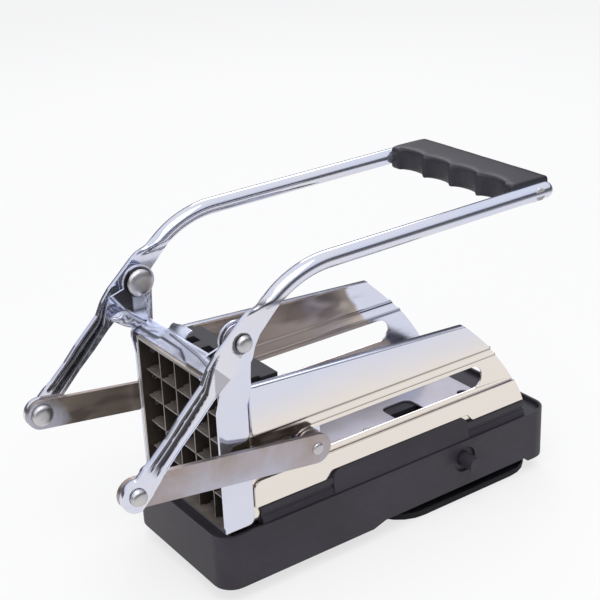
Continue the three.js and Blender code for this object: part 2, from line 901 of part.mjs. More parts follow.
function leverArm(sign) {
  const plate = sidePlate(armOutline(), sign * armInner, sign * armOuter);
  const low = onArm(-crankLength() + armEyeRadius + armHalf, armHalf + overrun);
  const lowIn = onArm(-crankLength() + armEyeRadius + armHalf, armHalf - armGrooveDepth);
  const highIn = onArm(-armPlateStart, armHalf - armGrooveDepth);
  const high = onArm(-armPlateStart, armHalf + overrun);
  const grooveInner = sign * (armMid - armGrooveWidth / 2);
  const grooveOuter = sign * (armMid + armGrooveWidth / 2);
  const groove = sidePlate(outline([low, lowIn, highIn, high]), grooveInner, grooveOuter);
  const whole = unite(plate, handleTube(sign * armMid));
  const screwZ = gripScrewZ();
  const shankHole = crossRod(
    gripScrewX,
    screwZ,
    screwShank + clearance,
    sign * (armMid - overrun),
    sign * (armMid + overrun),
    boreSegments,
  );
  const seat = sign * (armMid + tubeRadius - screwHeadHeight - clearance);
  const headSeat = crossRod(
    gripScrewX,
    screwZ,
    screwHead + clearance,
    seat,
    sign * (armMid + tubeRadius + overrun),
    boreSegments,
  );
  const pivotHole = rivetHole(pivotX, pivotZ, sign);
  const crankHole = rivetHole(crankPinX, crankPinZ, sign);
  return cut(whole, groove, shankHole, headSeat, pivotHole, crankHole);
}

function gripScrewZ() {
  const { end } = tubePath(0);
  return end.z - (end.x - gripScrewX) * tubeRise;
}

// Screw through the tube end into the grip, head flush with the outside of the tube.
function gripScrew(sign) {
  const headTop = armMid + tubeRadius - clearance / 2;
  const headFace = headTop - screwHeadHeight + clearance / 2;
  const shankEnd = gripHalf - gripScrewDepth;
  return turned(
    [
      [0, shankEnd],
      [screwShank, shankEnd],
      [screwShank, headFace],
      [screwHead, headFace],
      [screwHead, headTop],
      [0, headTop],
    ],
    gripScrewX,
    gripScrewZ(),
    sign,
  );
}

// Grip in plan: straight rear edge, finger scallops in the front edge.
function gripShape() {
  const scallopSpan = gripScallops * gripScallopWidth;
  const arcRadius = (gripScallopWidth ** 2 / 4 + gripScallopDepth ** 2) / (2 * gripScallopDepth);
  const halfAngle = Math.asin(gripScallopWidth / 2 / arcRadius);
  const points = [];
  for (let index = gripScallops - 1; index >= 0; index -= 1) {
    const mid = -scallopSpan / 2 + (index + 1 / 2) * gripScallopWidth;
    const centre = gripFront + gripScallopDepth - arcRadius;
    const round = arc(centre, mid, arcRadius, halfAngle, -halfAngle);
    points.push(...round.map((point) => [point.x, point.y]));
  }
  const edge = gripHalf - gripBevel;
  const rear = gripRear - gripBevel;
  const unique = points.filter(([x, y], index) => {
    const next = points[(index + 1) % points.length];
    return Math.hypot(next[0] - x, next[1] - y) > mergeDistance;
  });
  return outline([
    [rear, -edge, gripCorner],
    [rear, edge, gripCorner],
    [gripFront, edge],
    ...unique,
    [gripFront, -edge],
  ]);
}

function grip() {
  const settings = {
    depth: gripThickness - 2 * gripBevel,
    bevelEnabled: true,
    bevelThickness: gripBevel,
    bevelSize: gripBevel,
    bevelSegments: gripBevelSteps,
  };
  const geometry = new THREE.ExtrudeGeometry(gripShape(), settings);
  geometry.translate(0, 0, gripMidZ - gripThickness / 2 + gripBevel);
  const holes = sides.map(({ sign }) => {
    const end = sign * (gripHalf - gripScrewDepth - clearance);
    const radius = screwShank + clearance;
    return crossRod(gripScrewX, gripScrewZ(), radius, end, sign * (gripHalf + overrun), boreSegments);
  });
  const nests = sides.map(({ sign }) => handleTube(sign * armMid, tubeRadius + clearance));
  return cut(solid(geometry), ...holes, ...nests);
}

// Flat link from the crank pin to the pusher pin, both ends round.
function link(sign) {
  const angle = Math.atan2(pusherPinZ - crankPinZ, pusherPinX - crankPinX);
  const rear = arc(pusherPinX, pusherPinZ, linkHalf, angle - Math.PI / 2, angle + Math.PI / 2);
  const frontStart = angle + Math.PI / 2;
  const front = arc(crankPinX, crankPinZ, linkHalf, frontStart, frontStart + Math.PI);
  const shape = new THREE.Shape([...rear, ...front]);
  const body = sidePlate(shape, sign * linkInner, sign * linkOuter);
  return cut(
    body,
    rivetHole(crankPinX, crankPinZ, sign),
    linkEndHole(sign),
  );
}

function linkEndHole(sign) {
  const radius = linkEndHead - 2 * clearance;
  return crossRod(pusherPinX, pusherPinZ, radius, sign * overrun, sign * (armOuter + overrun), boreSegments);
}

// Turned-over pin end that closes the eye of the link.
function linkEndRivet(sign) {
  const shank = linkEndHead - 3 * clearance;
  const face = linkOuter + clearance / 3;
  const profile = [
    [0, linkInner],
    [shank, linkInner],
    [shank, face],
    ...dome(linkEndHead, linkEndRise, face, 1),
  ];
  return turned(profile, pusherPinX, pusherPinZ, sign);
}

function pivotRivet(sign) {
  return rivet(pivotX, pivotZ, sign, lockEarInner - clearance, pivotInnerHead);
}

function crankRivet(sign) {
  return rivet(crankPinX, crankPinZ, sign, linkInner - clearance, crankInnerHead);
}

function pivotWasher(sign) {
  const bore = rivetShank + clearance;
  const profile = [
    [bore, washerInner],
    [washerRadius, washerInner],
    [washerRadius, washerOuter],
    [bore, washerOuter],
    [bore, washerInner],
  ];
  return turned(profile, pivotX, pivotZ, sign);
}

function pusherBlock() {
  const plateFront = pusherRear - pusherPlate;
  const low = gridBottom + pusherFootGap;
  let body = box(plateFront, pusherRear, -pusherHalf, pusherHalf, low, pusherTop);
  const half = postWidth / 2;
  for (let column = 0; column < cells; column += 1) {
    const y = bladePlace(column, -gridHalf) + cellPitch / 2;
    for (let level = 0; level < cells; level += 1) {
      const z = bladePlace(level, gridBottom) + cellPitch / 2;
      const top = level === cells - 1 ? pusherTop : z + half;
      const front = plateFront - postLength;
      body = unite(body, box(front, plateFront + sheet, y - half, y + half, z - half, top));
    }
  }
  const holes = carriageScrewPlaces().map(([y, z]) => {
    const radius = screwShank + clearance;
    const front = pusherRear - pusherPlate / 2;
    return longBar(circle(y, z, radius, boreSegments), front, pusherRear + overrun);
  });
  return cut(body, ...holes);
}

function carriageScrewPlaces() {
  return sides.map(({ sign }) => [sign * carriageScrewSpread, slotMid + carriageScrewHeight]);
}

// Steel yoke behind the block that carries the pusher pin.
function pusherCarriage() {
  const webFront = pusherRear + clearance;
  const low = slotMid - carriageHalfHeight;
  const high = slotMid + carriageHalfHeight;
  const inner = carriageOuter - carriageSheet;
  const cheekShape = outline([
    [carriageFront, low, carriageCorner],
    [carriageRear, low, carriageCorner],
    [carriageRear, high, carriageCorner],
    [carriageFront, high, carriageCorner],
  ]);
  const web = box(webFront, webFront + carriageSheet, -carriageOuter, carriageOuter, low, high);
  const cheeks = sides.map(({ sign }) => sidePlate(cheekShape, sign * inner, sign * carriageOuter));
  const reach = carriageOuter + overrun;
  const pinHole = crossRod(pusherPinX, pusherPinZ, pinRadius + clearance, -reach, reach, boreSegments);
  const screwHoles = carriageScrewPlaces().map(([y, z]) => {
    const shape = circle(y, z, screwShank + clearance, boreSegments);
    return longBar(shape, webFront - overrun, webFront + overrun);
  });
  return cut(unite(web, ...cheeks), pinHole, ...screwHoles);
}

// Pan-head screw from the carriage web into the pusher block.
function carriageScrew(sign) {
  const y = sign * carriageScrewSpread;
  const z = slotMid + carriageScrewHeight;
  const headFace = pusherRear + 2 * clearance + carriageSheet;
  const tip = pusherRear - pusherPlate / 2 + clearance;
  const shank = longBar(circle(y, z, screwShank, boreSegments), tip, headFace + screwHeadHeight / 2);
  const head = longBar(circle(y, z, screwHead, boreSegments), headFace, headFace + 2 * screwHeadHeight);
  return unite(shank, head);
}

function pusherPin() {
  const end = linkInner - clearance;
  return crossRod(pusherPinX, pusherPinZ, pinRadius, -end, end);
}

// Bush that rides in the wall slot, with a flange outside the wall.
function slideBush(sign) {
  const bore = pinRadius + clearance;
  const start = carriageOuter + clearance;
  const flangeFace = wallOuter + clearance;
  const end = flangeFace + bushFlangeWidth;
  const profile = [
    [bore, start],
    [bushRadius, start],
    [bushRadius, flangeFace],
    [bushFlange, flangeFace],
    [bushFlange, end],
    [bore, end],
    [bore, start],
  ];
  return turned(profile, pusherPinX, pusherPinZ, sign);
}

function baseCell(long, wide) {
  const length = (baseRear - baseFront - 2 * baseWall - (baseLongCount - 1) * baseRib) / baseLongCount;
  const width = (2 * baseHalf - 2 * baseWall - (baseWideCount - 1) * baseRib) / baseWideCount;
  const front = baseFront + baseWall + long * (length + baseRib);
  const left = -baseHalf + baseWall + wide * (width + baseRib);
  return { front, rear: front + length, left, right: left + width };
}

// Screw bosses stand in the middle cells of these rows.
function baseScrewPlaces() {
  return screwRows.map((row) => {
    const { front, rear } = baseCell(row, 1);
    return (front + rear) / 2;
  });
}

function baseCellIsSolid(long, wide) {
  const { front, rear } = baseCell(long, wide);
  const wellRow = front < shaftX + wellHalf && rear > shaftX - wellHalf;
  const middle = wide === 1;
  return long === footRow || (middle && (screwRows.includes(long) || wellRow));
}

function basePockets() {
  const ceiling = baseRecess - baseDeck;
  const pockets = [];
  for (let long = 0; long < baseLongCount; long += 1) {
    for (let wide = 0; wide < baseWideCount; wide += 1) {
      if (!baseCellIsSolid(long, wide)) {
        const { front, rear, left, right } = baseCell(long, wide);
        pockets.push(box(front, rear, left, right, baseBottom - overrun, ceiling));
      }
    }
  }
  return pockets;
}

// Rail beside the wall: top band, undercut groove and a ledge that slopes out over the lip.
function railBar(sign) {
  const grooveTop = railTop - railBand;
  const grooveLow = grooveTop - railGrooveHeight;
  const corners = [
    [skirtInner, baseRecess + clearance],
    [lipInner - clearance, baseRecess + clearance],
    [lipInner - clearance, baseLipTop + clearance],
    [railOuter + ledgeOut, baseLipTop + clearance],
    [railOuter - railGroove / 2, grooveLow],
    [railOuter - railGroove, grooveLow],
    [railOuter - railGroove, grooveTop],
    [railOuter, grooveTop],
    [railOuter, railTop],
    [skirtInner, railTop],
  ];
  const shape = outline(corners.map(([out, z]) => [sign * out, z]));
  return longBar(shape, railFront, railRear);
}

// Oblong pad that fills the scallop of the skirt; its face leans outwards.
function railBoss(sign) {
  const low = baseRecess + clearance;
  const high = skirtBottom + scallopRise - clearance;
  const front = scallopFront + clearance;
  const rear = scallopRear - clearance;
  const elevation = outline([
    [front, low],
    [rear, low],
    [rear, high, bossCorner],
    [front, high, bossCorner],
  ]);
  const block = sidePlate(elevation, sign * skirtInner, sign * bossOut);
  const lean = outline([
    [sign * skirtInner, low],
    [sign * (lipInner - clearance), low],
    [sign * (lipInner - clearance), baseLipTop + clearance],
    [sign * bossOut, baseLipTop + clearance],
    [sign * bossTopOut, high],
    [sign * skirtInner, high],
  ]);
  return block.intersect(longBar(lean, front, rear));
}

function baseRail(sign) {
  return unite(railBar(sign), railBoss(sign));
}

function baseArch() {
  const high = baseBottom + archRise;
  const shape = outline([
    [archFront - archSlope, baseBottom - overrun],
    [archFront - archSlope, baseBottom],
    [archFront, high, archRise],
    [archRear, high, archRise],
    [archRear + archRise, baseBottom],
    [archRear + archRise, baseBottom - overrun],
  ]);
  const reach = baseHalf + overrun;
  return sidePlate(shape, -reach, reach);
}

function shaftBores() {
  const reach = baseHalf + overrun;
  const through = crossRod(shaftX, shaftZ, shaftRadius + clearance, -reach, reach, boreSegments);
  const recesses = sides.map(({ sign }) => {
    const inner = sign * (baseHalf - shaftRecessDepth);
    return crossRod(shaftX, shaftZ, shaftRecessRadius, inner, sign * reach);
  });
  return [through, ...recesses];
}

function baseScrewBores() {
  return baseScrewPlaces().flatMap((x) => {
    const shank = upright(x, 0, baseScrewShank + clearance, baseBottom, baseLipTop, boreSegments);
    const head = upright(x, 0, baseScrewHead + clearance, baseBottom - overrun, baseScrewSeat, boreSegments);
    return [shank, head];
  });
}

function footBores() {
  const top = baseBottom + footPlugHeight + clearance;
  return sides.map(({ sign }) => {
    return upright(footX, sign * footY, footPlug + clearance, baseBottom - overrun, top, boreSegments);
  });
}

function baseHousing() {
  const plan = rectangle(baseFront, baseRear, -baseHalf, baseHalf, baseCorner);
  const trayPlan = rectangle(
    baseFront + baseLip,
    baseRear - baseLip,
    -lipInner,
    lipInner,
    baseCorner - baseLip,
  );
  const block = levelPlate(plan, baseBottom, baseLipTop);
  const tray = levelPlate(trayPlan, baseRecess, baseLipTop + overrun);
  const deckHalf = wallInner - clearance;
  const deck = box(railFront, floorRear, -deckHalf, deckHalf, baseRecess - sheet, basePlatform);
  const hatchLong = yokeHalfLength + hatchMargin;
  const hatchWide = yokeHalfWidth + hatchMargin;
  const hatch = box(
    shaftX - hatchLong,
    shaftX + hatchLong,
    -hatchWide,
    hatchWide,
    baseBottom,
    baseLipTop + overrun,
  );
  const ceiling = baseRecess - baseDeck;
  const well = box(
    shaftX - wellHalf,
    shaftX + wellHalf,
    -wellHalf,
    wellHalf,
    baseBottom - overrun,
    ceiling,
  );
  const whole = unite(cut(block, tray), deck);
  return cut(
    whole,
    ...basePockets(),
    baseArch(),
    hatch,
    well,
    ...shaftBores(),
    ...baseScrewBores(),
    ...footBores(),
  );
}

// Screw from below through the base into the trough floor.
function baseScrew(index) {
  const x = baseScrewPlaces()[index];
  const headFace = baseScrewSeat - clearance;
  const top = gridBottom - clearance / 2;
  const head = upright(x, 0, baseScrewHead, headFace - baseScrewHeadHeight, headFace, boreSegments);
  const shank = upright(x, 0, baseScrewShank, headFace - baseScrewHeadHeight / 2, top, boreSegments);
  return unite(head, shank);
}

function frontFoot(sign) {
  const top = baseBottom - clearance;
  const disc = upright(footX, sign * footY, footRadius, 0, top);
  const plug = upright(footX, sign * footY, footPlug, top - sheet, baseBottom + footPlugHeight, boreSegments);
  return unite(disc, plug);
}

// Shaft across the base with its lifting cam in the middle.
function suctionShaft() {
  const nearEnd = -(baseHalf + shaftProud);
  const farEnd = suctionLeverInner - clearance;
  const shaft = crossRod(shaftX, shaftZ, shaftRadius, nearEnd, farEnd);
  const cam = crossRod(shaftX, shaftZ - camOffset, camRadius, -camHalf, camHalf);
  return unite(shaft, cam);
}

function suctionLever() {
  const tipX = shaftX + suctionLeverLength;
  const hub = crossRod(shaftX, shaftZ, suctionHub, suctionLeverInner, suctionLeverOuter);
  const blade = rectangle(
    shaftX,
    tipX,
    shaftZ - suctionLeverHalf,
    shaftZ + suctionLeverHalf,
    suctionLeverHalf * roundEndShare,
  );
  return unite(hub, sidePlate(blade, suctionLeverInner, suctionLeverOuter));
}

// Yoke on the pad: the cam lifts its upper bar.
function padYoke() {
  const low = padCrown + clearance;
  const plateTop = low + yokePlate;
  const camMid = shaftZ - camOffset;
  const windowLow = camMid - camRadius - yokeClearance;
  const windowHigh = camMid + camRadius + yokeClearance;
  const windowHalf = camRadius + camOffset + yokeClearance;
  const top = windowHigh + yokeBar;
  const plate = box(
    shaftX - yokePlateHalf,
    shaftX + yokePlateHalf,
    -yokePlateHalf,
    yokePlateHalf,
    low,
    plateTop,
  );
  const column = box(
    shaftX - yokeHalfLength,
    shaftX + yokeHalfLength,
    -yokeHalfWidth,
    yokeHalfWidth,
    low,
    top,
  );
  const window = box(
    shaftX - windowHalf,
    shaftX + windowHalf,
    -yokeHalfWidth - overrun,
    yokeHalfWidth + overrun,
    windowLow,
    windowHigh,
  );
  return cut(unite(plate, column), window);
}

function padPlan(inset) {
  return rectangle(
    padMid - padHalfLength + inset,
    padMid + padHalfLength - inset,
    -padHalfWidth + inset,
    padHalfWidth - inset,
    padCorner - inset,
  );
}

function suctionPad() {
  const skirt = levelPlate(padPlan(0), 0, padEdge);
  const crown = levelPlate(padPlan(padCrownInset), 0, padCrown);
  const dish = levelPlate(padPlan(padDishInset), -overrun, padDish);
  return cut(unite(skirt, crown), dish);
}

place('base_housing', baseHousing(), 'basePlastic');
place('trough_floor', troughFloor(), 'polishedSteel');
place('blade_frame', bladeFrame(), 'bladeSteel');
for (let index = 1; index < cells; index += 1) {
  place(`blade_upright_${index}`, verticalBlade(index), 'bladeSteel');
  place(`blade_level_${index}`, horizontalBlade(index), 'bladeSteel');
}
place('lock_bracket', lockBracket(), 'polishedSteel');
place('grip', grip(), 'gripPlastic');
place('pusher_block', pusherBlock(), 'pusherPlastic');
place('pusher_carriage', pusherCarriage(), 'polishedSteel');
place('pusher_pin', pusherPin(), 'rivetSteel');
place('suction_shaft', suctionShaft(), 'basePlastic');
place('suction_lever', suctionLever(), 'basePlastic');
place('suction_pad', suctionPad(), 'rubber');
place('pad_yoke', padYoke(), 'pusherPlastic');
place('base_screw_front', baseScrew(0), 'rivetSteel');
place('base_screw_rear', baseScrew(1), 'rivetSteel');
sides.forEach(({ word, sign }) => {
  place(`base_rail_${word}`, baseRail(sign), 'basePlastic');
  place(`side_wall_${word}`, sideWall(sign), 'polishedSteel');
  place(`side_skirt_${word}`, sideSkirt(sign), 'polishedSteel');
  place(`pivot_plate_${word}`, pivotPlateBody(sign), 'polishedSteel');
  place(`pivot_washer_${word}`, pivotWasher(sign), 'satinSteel');
  place(`pivot_rivet_${word}`, pivotRivet(sign), 'rivetSteel');
  place(`lever_arm_${word}`, leverArm(sign), 'polishedSteel');
  place(`grip_screw_${word}`, gripScrew(sign), 'rivetSteel');
  place(`crank_rivet_${word}`, crankRivet(sign), 'rivetSteel');
  place(`link_${word}`, link(sign), 'satinSteel');
  place(`link_end_rivet_${word}`, linkEndRivet(sign), 'rivetSteel');
  place(`slide_bush_${word}`, slideBush(sign), 'satinSteel');
  place(`carriage_screw_${word}`, carriageScrew(sign), 'rivetSteel');
  place(`front_foot_${word}`, frontFoot(sign), 'rubber');
});

// The origin is the middle of the footprint, on the table.
const bounds = new THREE.Box3().setFromObject(model);
const middle = bounds.getCenter(new THREE.Vector3());
model.position.set(-middle.x, -middle.y, -bounds.min.z);
model.name = 'french_fry_cutter';

export default model;
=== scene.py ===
"""French fry cutter in a plain studio: formed sheet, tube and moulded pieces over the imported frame.

Every length is in metres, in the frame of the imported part: +X from the blade end to the
rear, -Y the near side and +Z up from the table.
"""

import contextlib
import json
import math

import bmesh
import bpy
import numpy as np
from mathutils import Matrix, Vector
from mathutils.geometry import tessellate_polygon


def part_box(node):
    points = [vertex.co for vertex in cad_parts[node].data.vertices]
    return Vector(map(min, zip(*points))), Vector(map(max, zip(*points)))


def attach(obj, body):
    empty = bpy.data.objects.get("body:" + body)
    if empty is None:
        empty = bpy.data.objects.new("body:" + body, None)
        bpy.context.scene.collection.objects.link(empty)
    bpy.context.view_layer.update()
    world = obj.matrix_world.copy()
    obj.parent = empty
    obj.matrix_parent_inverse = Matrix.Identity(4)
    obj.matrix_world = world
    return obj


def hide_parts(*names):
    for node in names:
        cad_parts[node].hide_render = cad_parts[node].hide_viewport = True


bl_info = {
    "name": "Fry Cutter Finish",
    "version": (1, 0, 0),
    "blender": (4, 5, 0),
    "location": "3D View > Sidebar > Fry Cutter",
    "description": "Formed pieces, finishes and studio for a lever-operated fry cutter",
    "category": "Object",
}

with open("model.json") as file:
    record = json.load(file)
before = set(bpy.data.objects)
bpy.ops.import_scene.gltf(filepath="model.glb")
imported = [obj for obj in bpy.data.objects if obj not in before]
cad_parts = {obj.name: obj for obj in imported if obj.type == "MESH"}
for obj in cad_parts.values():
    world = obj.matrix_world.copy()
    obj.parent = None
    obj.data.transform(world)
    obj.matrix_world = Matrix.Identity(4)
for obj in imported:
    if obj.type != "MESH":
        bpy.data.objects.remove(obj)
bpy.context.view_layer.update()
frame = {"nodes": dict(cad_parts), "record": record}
NODES = frame["nodes"]
RECORD = frame["record"]
BODY_OF = {node: body for body, nodes in RECORD["behaviour"]["bodies"].items() for node in nodes}
SLOT_OF = {row["node"]: row["material_slot"] for row in RECORD["subparts"]}
JOINT = {joint["name"]: joint for joint in RECORD["behaviour"]["joints"]}
PIVOT = np.array(JOINT["handle_swing"]["pos_m"])[[0, 2]]
CRANK = np.array(JOINT["link_swing"]["pos_m"])[[0, 2]]
SIDES = (("near", -1.0), ("far", 1.0))
FINISH_OF = {"trough_floor": "floor_steel", "lock_bracket": "lock_steel"}
for word, _ in SIDES:
    FINISH_OF.update(dict.fromkeys((f"side_wall_{word}", f"side_skirt_{word}"), "trough_steel"))
    FINISH_OF.update(dict.fromkeys((f"lever_arm_{word}", f"pivot_plate_{word}"), "arm_steel"))
FINISH_END = "_finish"

MM = 0.001
WELD = 0.002 * MM  # points closer than this are joined
SHARP = 32.0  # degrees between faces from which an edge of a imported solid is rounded
FLAT = 0.6  # degrees between faces up to which an edge is taken out
PLAIN = (0.8, 0.8, 0.8, 1.0)  # colour of a group's inputs before a finish sets them


def linear(red, green, blue):
    """Scene-linear colour from a display colour: ((c + 0.055) / 1.055) ** 2.4 above the toe."""
    shown = np.array([red, green, blue]) / 255.0
    curve = ((shown + 0.055) / 1.055) ** 2.4
    return tuple(float(c) for c in np.where(shown <= 0.04045, shown / 12.92, curve))


# Settings


def length(name, default, description):
    return bpy.props.FloatProperty(
        name=name, default=default, description=description, unit="LENGTH", min=0.0, precision=5
    )


def paint(name, red, green, blue, description):
    return colour(name, linear(red, green, blue), description)


def colour(name, default, description):
    return bpy.props.FloatVectorProperty(
        name=name, default=default, description=description, subtype="COLOR", size=3, min=0.0, max=1.0
    )


def share(name, default, description):
    return bpy.props.FloatProperty(
        name=name, default=default, description=description, subtype="FACTOR", min=0.0, max=1.0
    )


class CutterSizes(bpy.types.PropertyGroup):
    """Sizes of the formed pieces."""

    edge_round: length("Edge round", 0.25 * MM, "Width of the rounded edge on cut sheet")
    mould_round: length("Mould round", 0.7 * MM, "Width of the rounded edge on the moulded base")
    sheet: length("Sheet", 1.0 * MM, "Thickness of the trough and lock sheet")
    tube_radius: length("Tube radius", 3.8 * MM, "Radius of the handle tube")
    tube_bend: length("Tube bend", 46.0 * MM, "Radius of the tube's bend above the pivot")
    tube_corner: length("Tube corner", 34.7 * MM, "Place of the bend's corner, past the pivot")
    arm_plate: length("Arm plate", 1.3 * MM, "Half thickness of the arm where it is pressed flat")
    arm_channel: length("Arm channel", 1.1 * MM, "Depth of the channel pressed into the lower arm")
    eye_radius: length("Eye radius", 6.9 * MM, "Radius of the arm's eye at the crank pin")
    bulge_round: length("Bulge round", 3.2 * MM, "Radius of the bend at the front of the bulged panel")
    rib_height: length("Rib height", 0.55 * MM, "Height of the rib pressed into the lock strip")
    flute_depth: length("Flute depth", 4.0 * MM, "Depth of the finger flutes in the grip")
    grain: length("Grain", 0.35 * MM, "Grain size of the moulded surfaces")


class CutterColours(bpy.types.PropertyGroup):
    """Colours of the finishes."""

    steel_cool: paint("Polished, cool", 226, 231, 250, "Polished steel where it is clean")
    # Warm stains; low on the trough walls this colour is also a painted reflection of the warm floor.
    steel_warm: paint("Polished, warm", 246, 240, 232, "Polished steel where it is handled")
    # Painted shade: the trough's inner faces, darker and warmer than the outside.
    steel_inner: paint("Polished, inner", 208, 195, 186, "Inner faces of the trough")
    satin_cool: paint("Satin, cool", 196, 196, 210, "Satin steel of the links")
    satin_warm: paint("Satin, warm", 174, 160, 154, "Stains on the satin steel")
    # Painted shade on the inner faces of the links.
    satin_inner: paint("Satin, inner", 128, 116, 106, "Inner faces of the links")
    blade: paint("Blade edge", 160, 158, 158, "Ground front edges of the blades")
    # Painted shade on the blade sides inside the grid.
    blade_side_shade: paint("Blade side", 78, 70, 64, "Sides of the blades inside the grid")
    rivet: paint("Rivet", 206, 206, 211, "Rivet heads and pins")
    # Painted shade: the dark of grooves, folds, inner blots and other shaded marks on the steel.
    groove_shade: paint("Dark groove", 40, 36, 38, "Dark grooves and folds in the steel")
    base: paint("Base", 53, 50, 57, "Moulded base")
    base_dust: paint("Base dust", 69, 66, 74, "Lighter bloom on the moulded base")
    grip: paint("Grip", 46, 45, 51, "Moulded grip")
    pusher: paint("Pusher", 40, 40, 45, "Moulded pusher block")
    rubber: paint("Rubber", 26, 26, 29, "Suction pad and feet")


class CutterStudio(bpy.types.PropertyGroup):
    """Floor, lamps and surroundings."""

    floor: colour("Floor", (0.92, 0.92, 0.92), "Pale floor")
    sheen: colour("Floor in metal", (0.84, 0.82, 0.81), "Near floor as polished metal shows it")
    gloom: colour("Dark in metal", (0.05, 0.045, 0.05), "Far floor and horizon as polished metal shows them")
    shadow: share("Shadow", 0.3, "How much of its shadow the floor keeps")
    near_floor: length("Near floor", 0.38, "Radius within which the floor is bright in metal")
    far_floor: length("Far floor", 0.85, "Radius beyond which the floor is dark in metal")
    key_power: bpy.props.FloatProperty(name="Key", default=3.4, unit="POWER", description="Main soft lamp")
    fill_power: bpy.props.FloatProperty(name="Fill", default=1.5, unit="POWER", description="Fill lamp")
    lens: length("Lens", 76.286 * MM, "Focal length on a 36 mm frame")


# Mesh helpers


@contextlib.contextmanager
def edited(mesh):
    """The mesh opened for editing, and written back at the end."""
    work = bmesh.new()
    work.from_mesh(mesh)
    yield work
    work.to_mesh(mesh)
    work.free()


def finish_of(node):
    """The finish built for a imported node's slot, or for one kind of piece in it."""
    return bpy.data.materials[FINISH_OF.get(node, SLOT_OF[node]) + FINISH_END]


def seat(name, mesh, node, smooth):
    """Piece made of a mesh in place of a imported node: on its body, with its finish."""
    mesh.shade_smooth()
    mesh.set_sharp_from_angle(angle=math.radians(smooth))
    piece = bpy.data.objects.new(name, mesh)
    bpy.context.collection.objects.link(piece)
    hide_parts(node)
    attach(piece, BODY_OF[node])
    mesh.materials.append(finish_of(node))
    return piece


def put_mesh(name, node, points, faces, smooth=35.0):
    """Piece from points and faces, welded and turned outwards.

    A fourth column of the points is the share of painted shade, kept as the attribute shade.
    """
    mesh = bpy.data.meshes.new(name)
    mesh.from_pydata(points[:, :3].tolist(), [], faces)
    if points.shape[1] > 3:
        shade = mesh.attributes.new("shade", "FLOAT", "POINT")
        shade.data.foreach_set("value", points[:, 3].astype(np.float32))
    with edited(mesh) as work:
        bmesh.ops.remove_doubles(work, verts=work.verts, dist=WELD)
        bmesh.ops.dissolve_degenerate(work, edges=work.edges, dist=WELD / 2)
        bmesh.ops.recalc_face_normals(work, faces=work.faces)
    return seat(name, mesh, node, smooth)


def grid_mesh(grid, closed):
    """Points and quads of a grid of points; a closed grid joins its last column to its first."""
    rows, columns = grid.shape[:2]
    row, column = np.meshgrid(np.arange(rows - 1), np.arange(columns if closed else columns - 1), indexing="ij")
    this, beside = row * columns + column, row * columns + (column + 1) % columns
    quads = np.stack([this, this + columns, beside + columns, beside], axis=-1)
    return grid.reshape(-1, grid.shape[-1]), quads.reshape(-1, 4).tolist()


def stacked(*parts):
    """Arrays spread to one shape and set side by side along a new last axis."""
    return np.stack(np.broadcast_arrays(*parts), axis=-1)


def capped(rings):
    """Closes both ends of a stack of rings with their own middle points."""
    middles = rings[[0, -1]].mean(axis=1, keepdims=True)
    ends = np.repeat(middles, rings.shape[1], axis=1)
    return np.concatenate([ends[:1], rings, ends[1:]])


def soft_step(value, start, end):
    """0 before start, 1 after end, and t * t * (3 - 2 t) between them."""
    t = np.clip((np.asarray(value, float) - start) / (end - start), 0.0, 1.0)
    return t * t * (3.0 - 2.0 * t)


def bell(value, middle, width):
    """1 at the middle, falling as exp(-t * t), t the distance from it over width."""
    return np.exp(-(((value - middle) / width) ** 2))


def rounded_power(angle, power):
    """Unit superellipse: each of cos and sin keeps its sign and goes to the power 2 / power."""
    across, out = np.cos(angle), np.sin(angle)
    exponent = 2.0 / power
    return np.sign(across) * np.abs(across) ** exponent, np.sign(out) * np.abs(out) ** exponent


def spline(points, count):
    """Catmull-Rom curve through points, as count samples spread evenly over the spans."""
    knots = np.asarray(points, float)
    padded = np.concatenate([[2 * knots[0] - knots[1]], knots, [2 * knots[-1] - knots[-2]]])
    place = np.linspace(0, len(knots) - 1, count)
    span = np.minimum(place.astype(int), len(knots) - 2)
    t = (place - span)[:, None]
    p0, p1, p2, p3 = (padded[span + k] for k in range(4))
    square = 2 * p0 - 5 * p1 + 4 * p2 - p3
    cube = 3 * p1 - p0 - 3 * p2 + p3
    return 0.5 * (2 * p1 + (p2 - p0) * t + square * t**2 + cube * t**3)


def turned(profile, x, z, segments=64):
    """Round piece along Y: each (radius, y) of the profile goes once round the line through x, z."""
    radius, out = np.asarray(profile, float).T[:, :, None]
    turn = np.linspace(0, 2 * np.pi, segments, endpoint=False)
    return stacked(x + radius * np.cos(turn), out, z + radius * np.sin(turn))


def add_bevel(piece, name, width, segments, angle):
    """Rounds the edges of a piece that are sharper than an angle in degrees."""
    bevel = piece.modifiers.new(name, "BEVEL")
    bevel.width = width
    bevel.segments = segments
    bevel.limit_method = "ANGLE"
    bevel.angle_limit = math.radians(angle)
    bevel.harden_normals = True


def dressed(node, width, segments=2):
    """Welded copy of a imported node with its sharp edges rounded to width."""
    mesh = NODES[node].data.copy()
    with edited(mesh) as work:
        bmesh.ops.remove_doubles(work, verts=work.verts, dist=WELD * 1.5)
        bmesh.ops.dissolve_limit(work, angle_limit=math.radians(FLAT), verts=work.verts, edges=work.edges)
    mesh.materials.clear()
    add_bevel(seat(node + "_formed", mesh, node, SHARP), "rounded_edges", width, segments, SHARP)


# Finishes


def feed(node, values):
    """Gives inputs of a node, by name or number, a value or the output of another node."""
    for label, value in values.items():
        if isinstance(value, Signal):
            node.id_data.links.new(value.socket, node.inputs[label])
        else:
            node.inputs[label].default_value = value


def add_node(tree, kind, values=None, **settings):
    """New shader node with its settings made and its inputs fed."""
    node = tree.nodes.new("ShaderNode" + kind)
    for name, setting in settings.items():
        setattr(node, name, setting)
    feed(node, values or {})
    return node


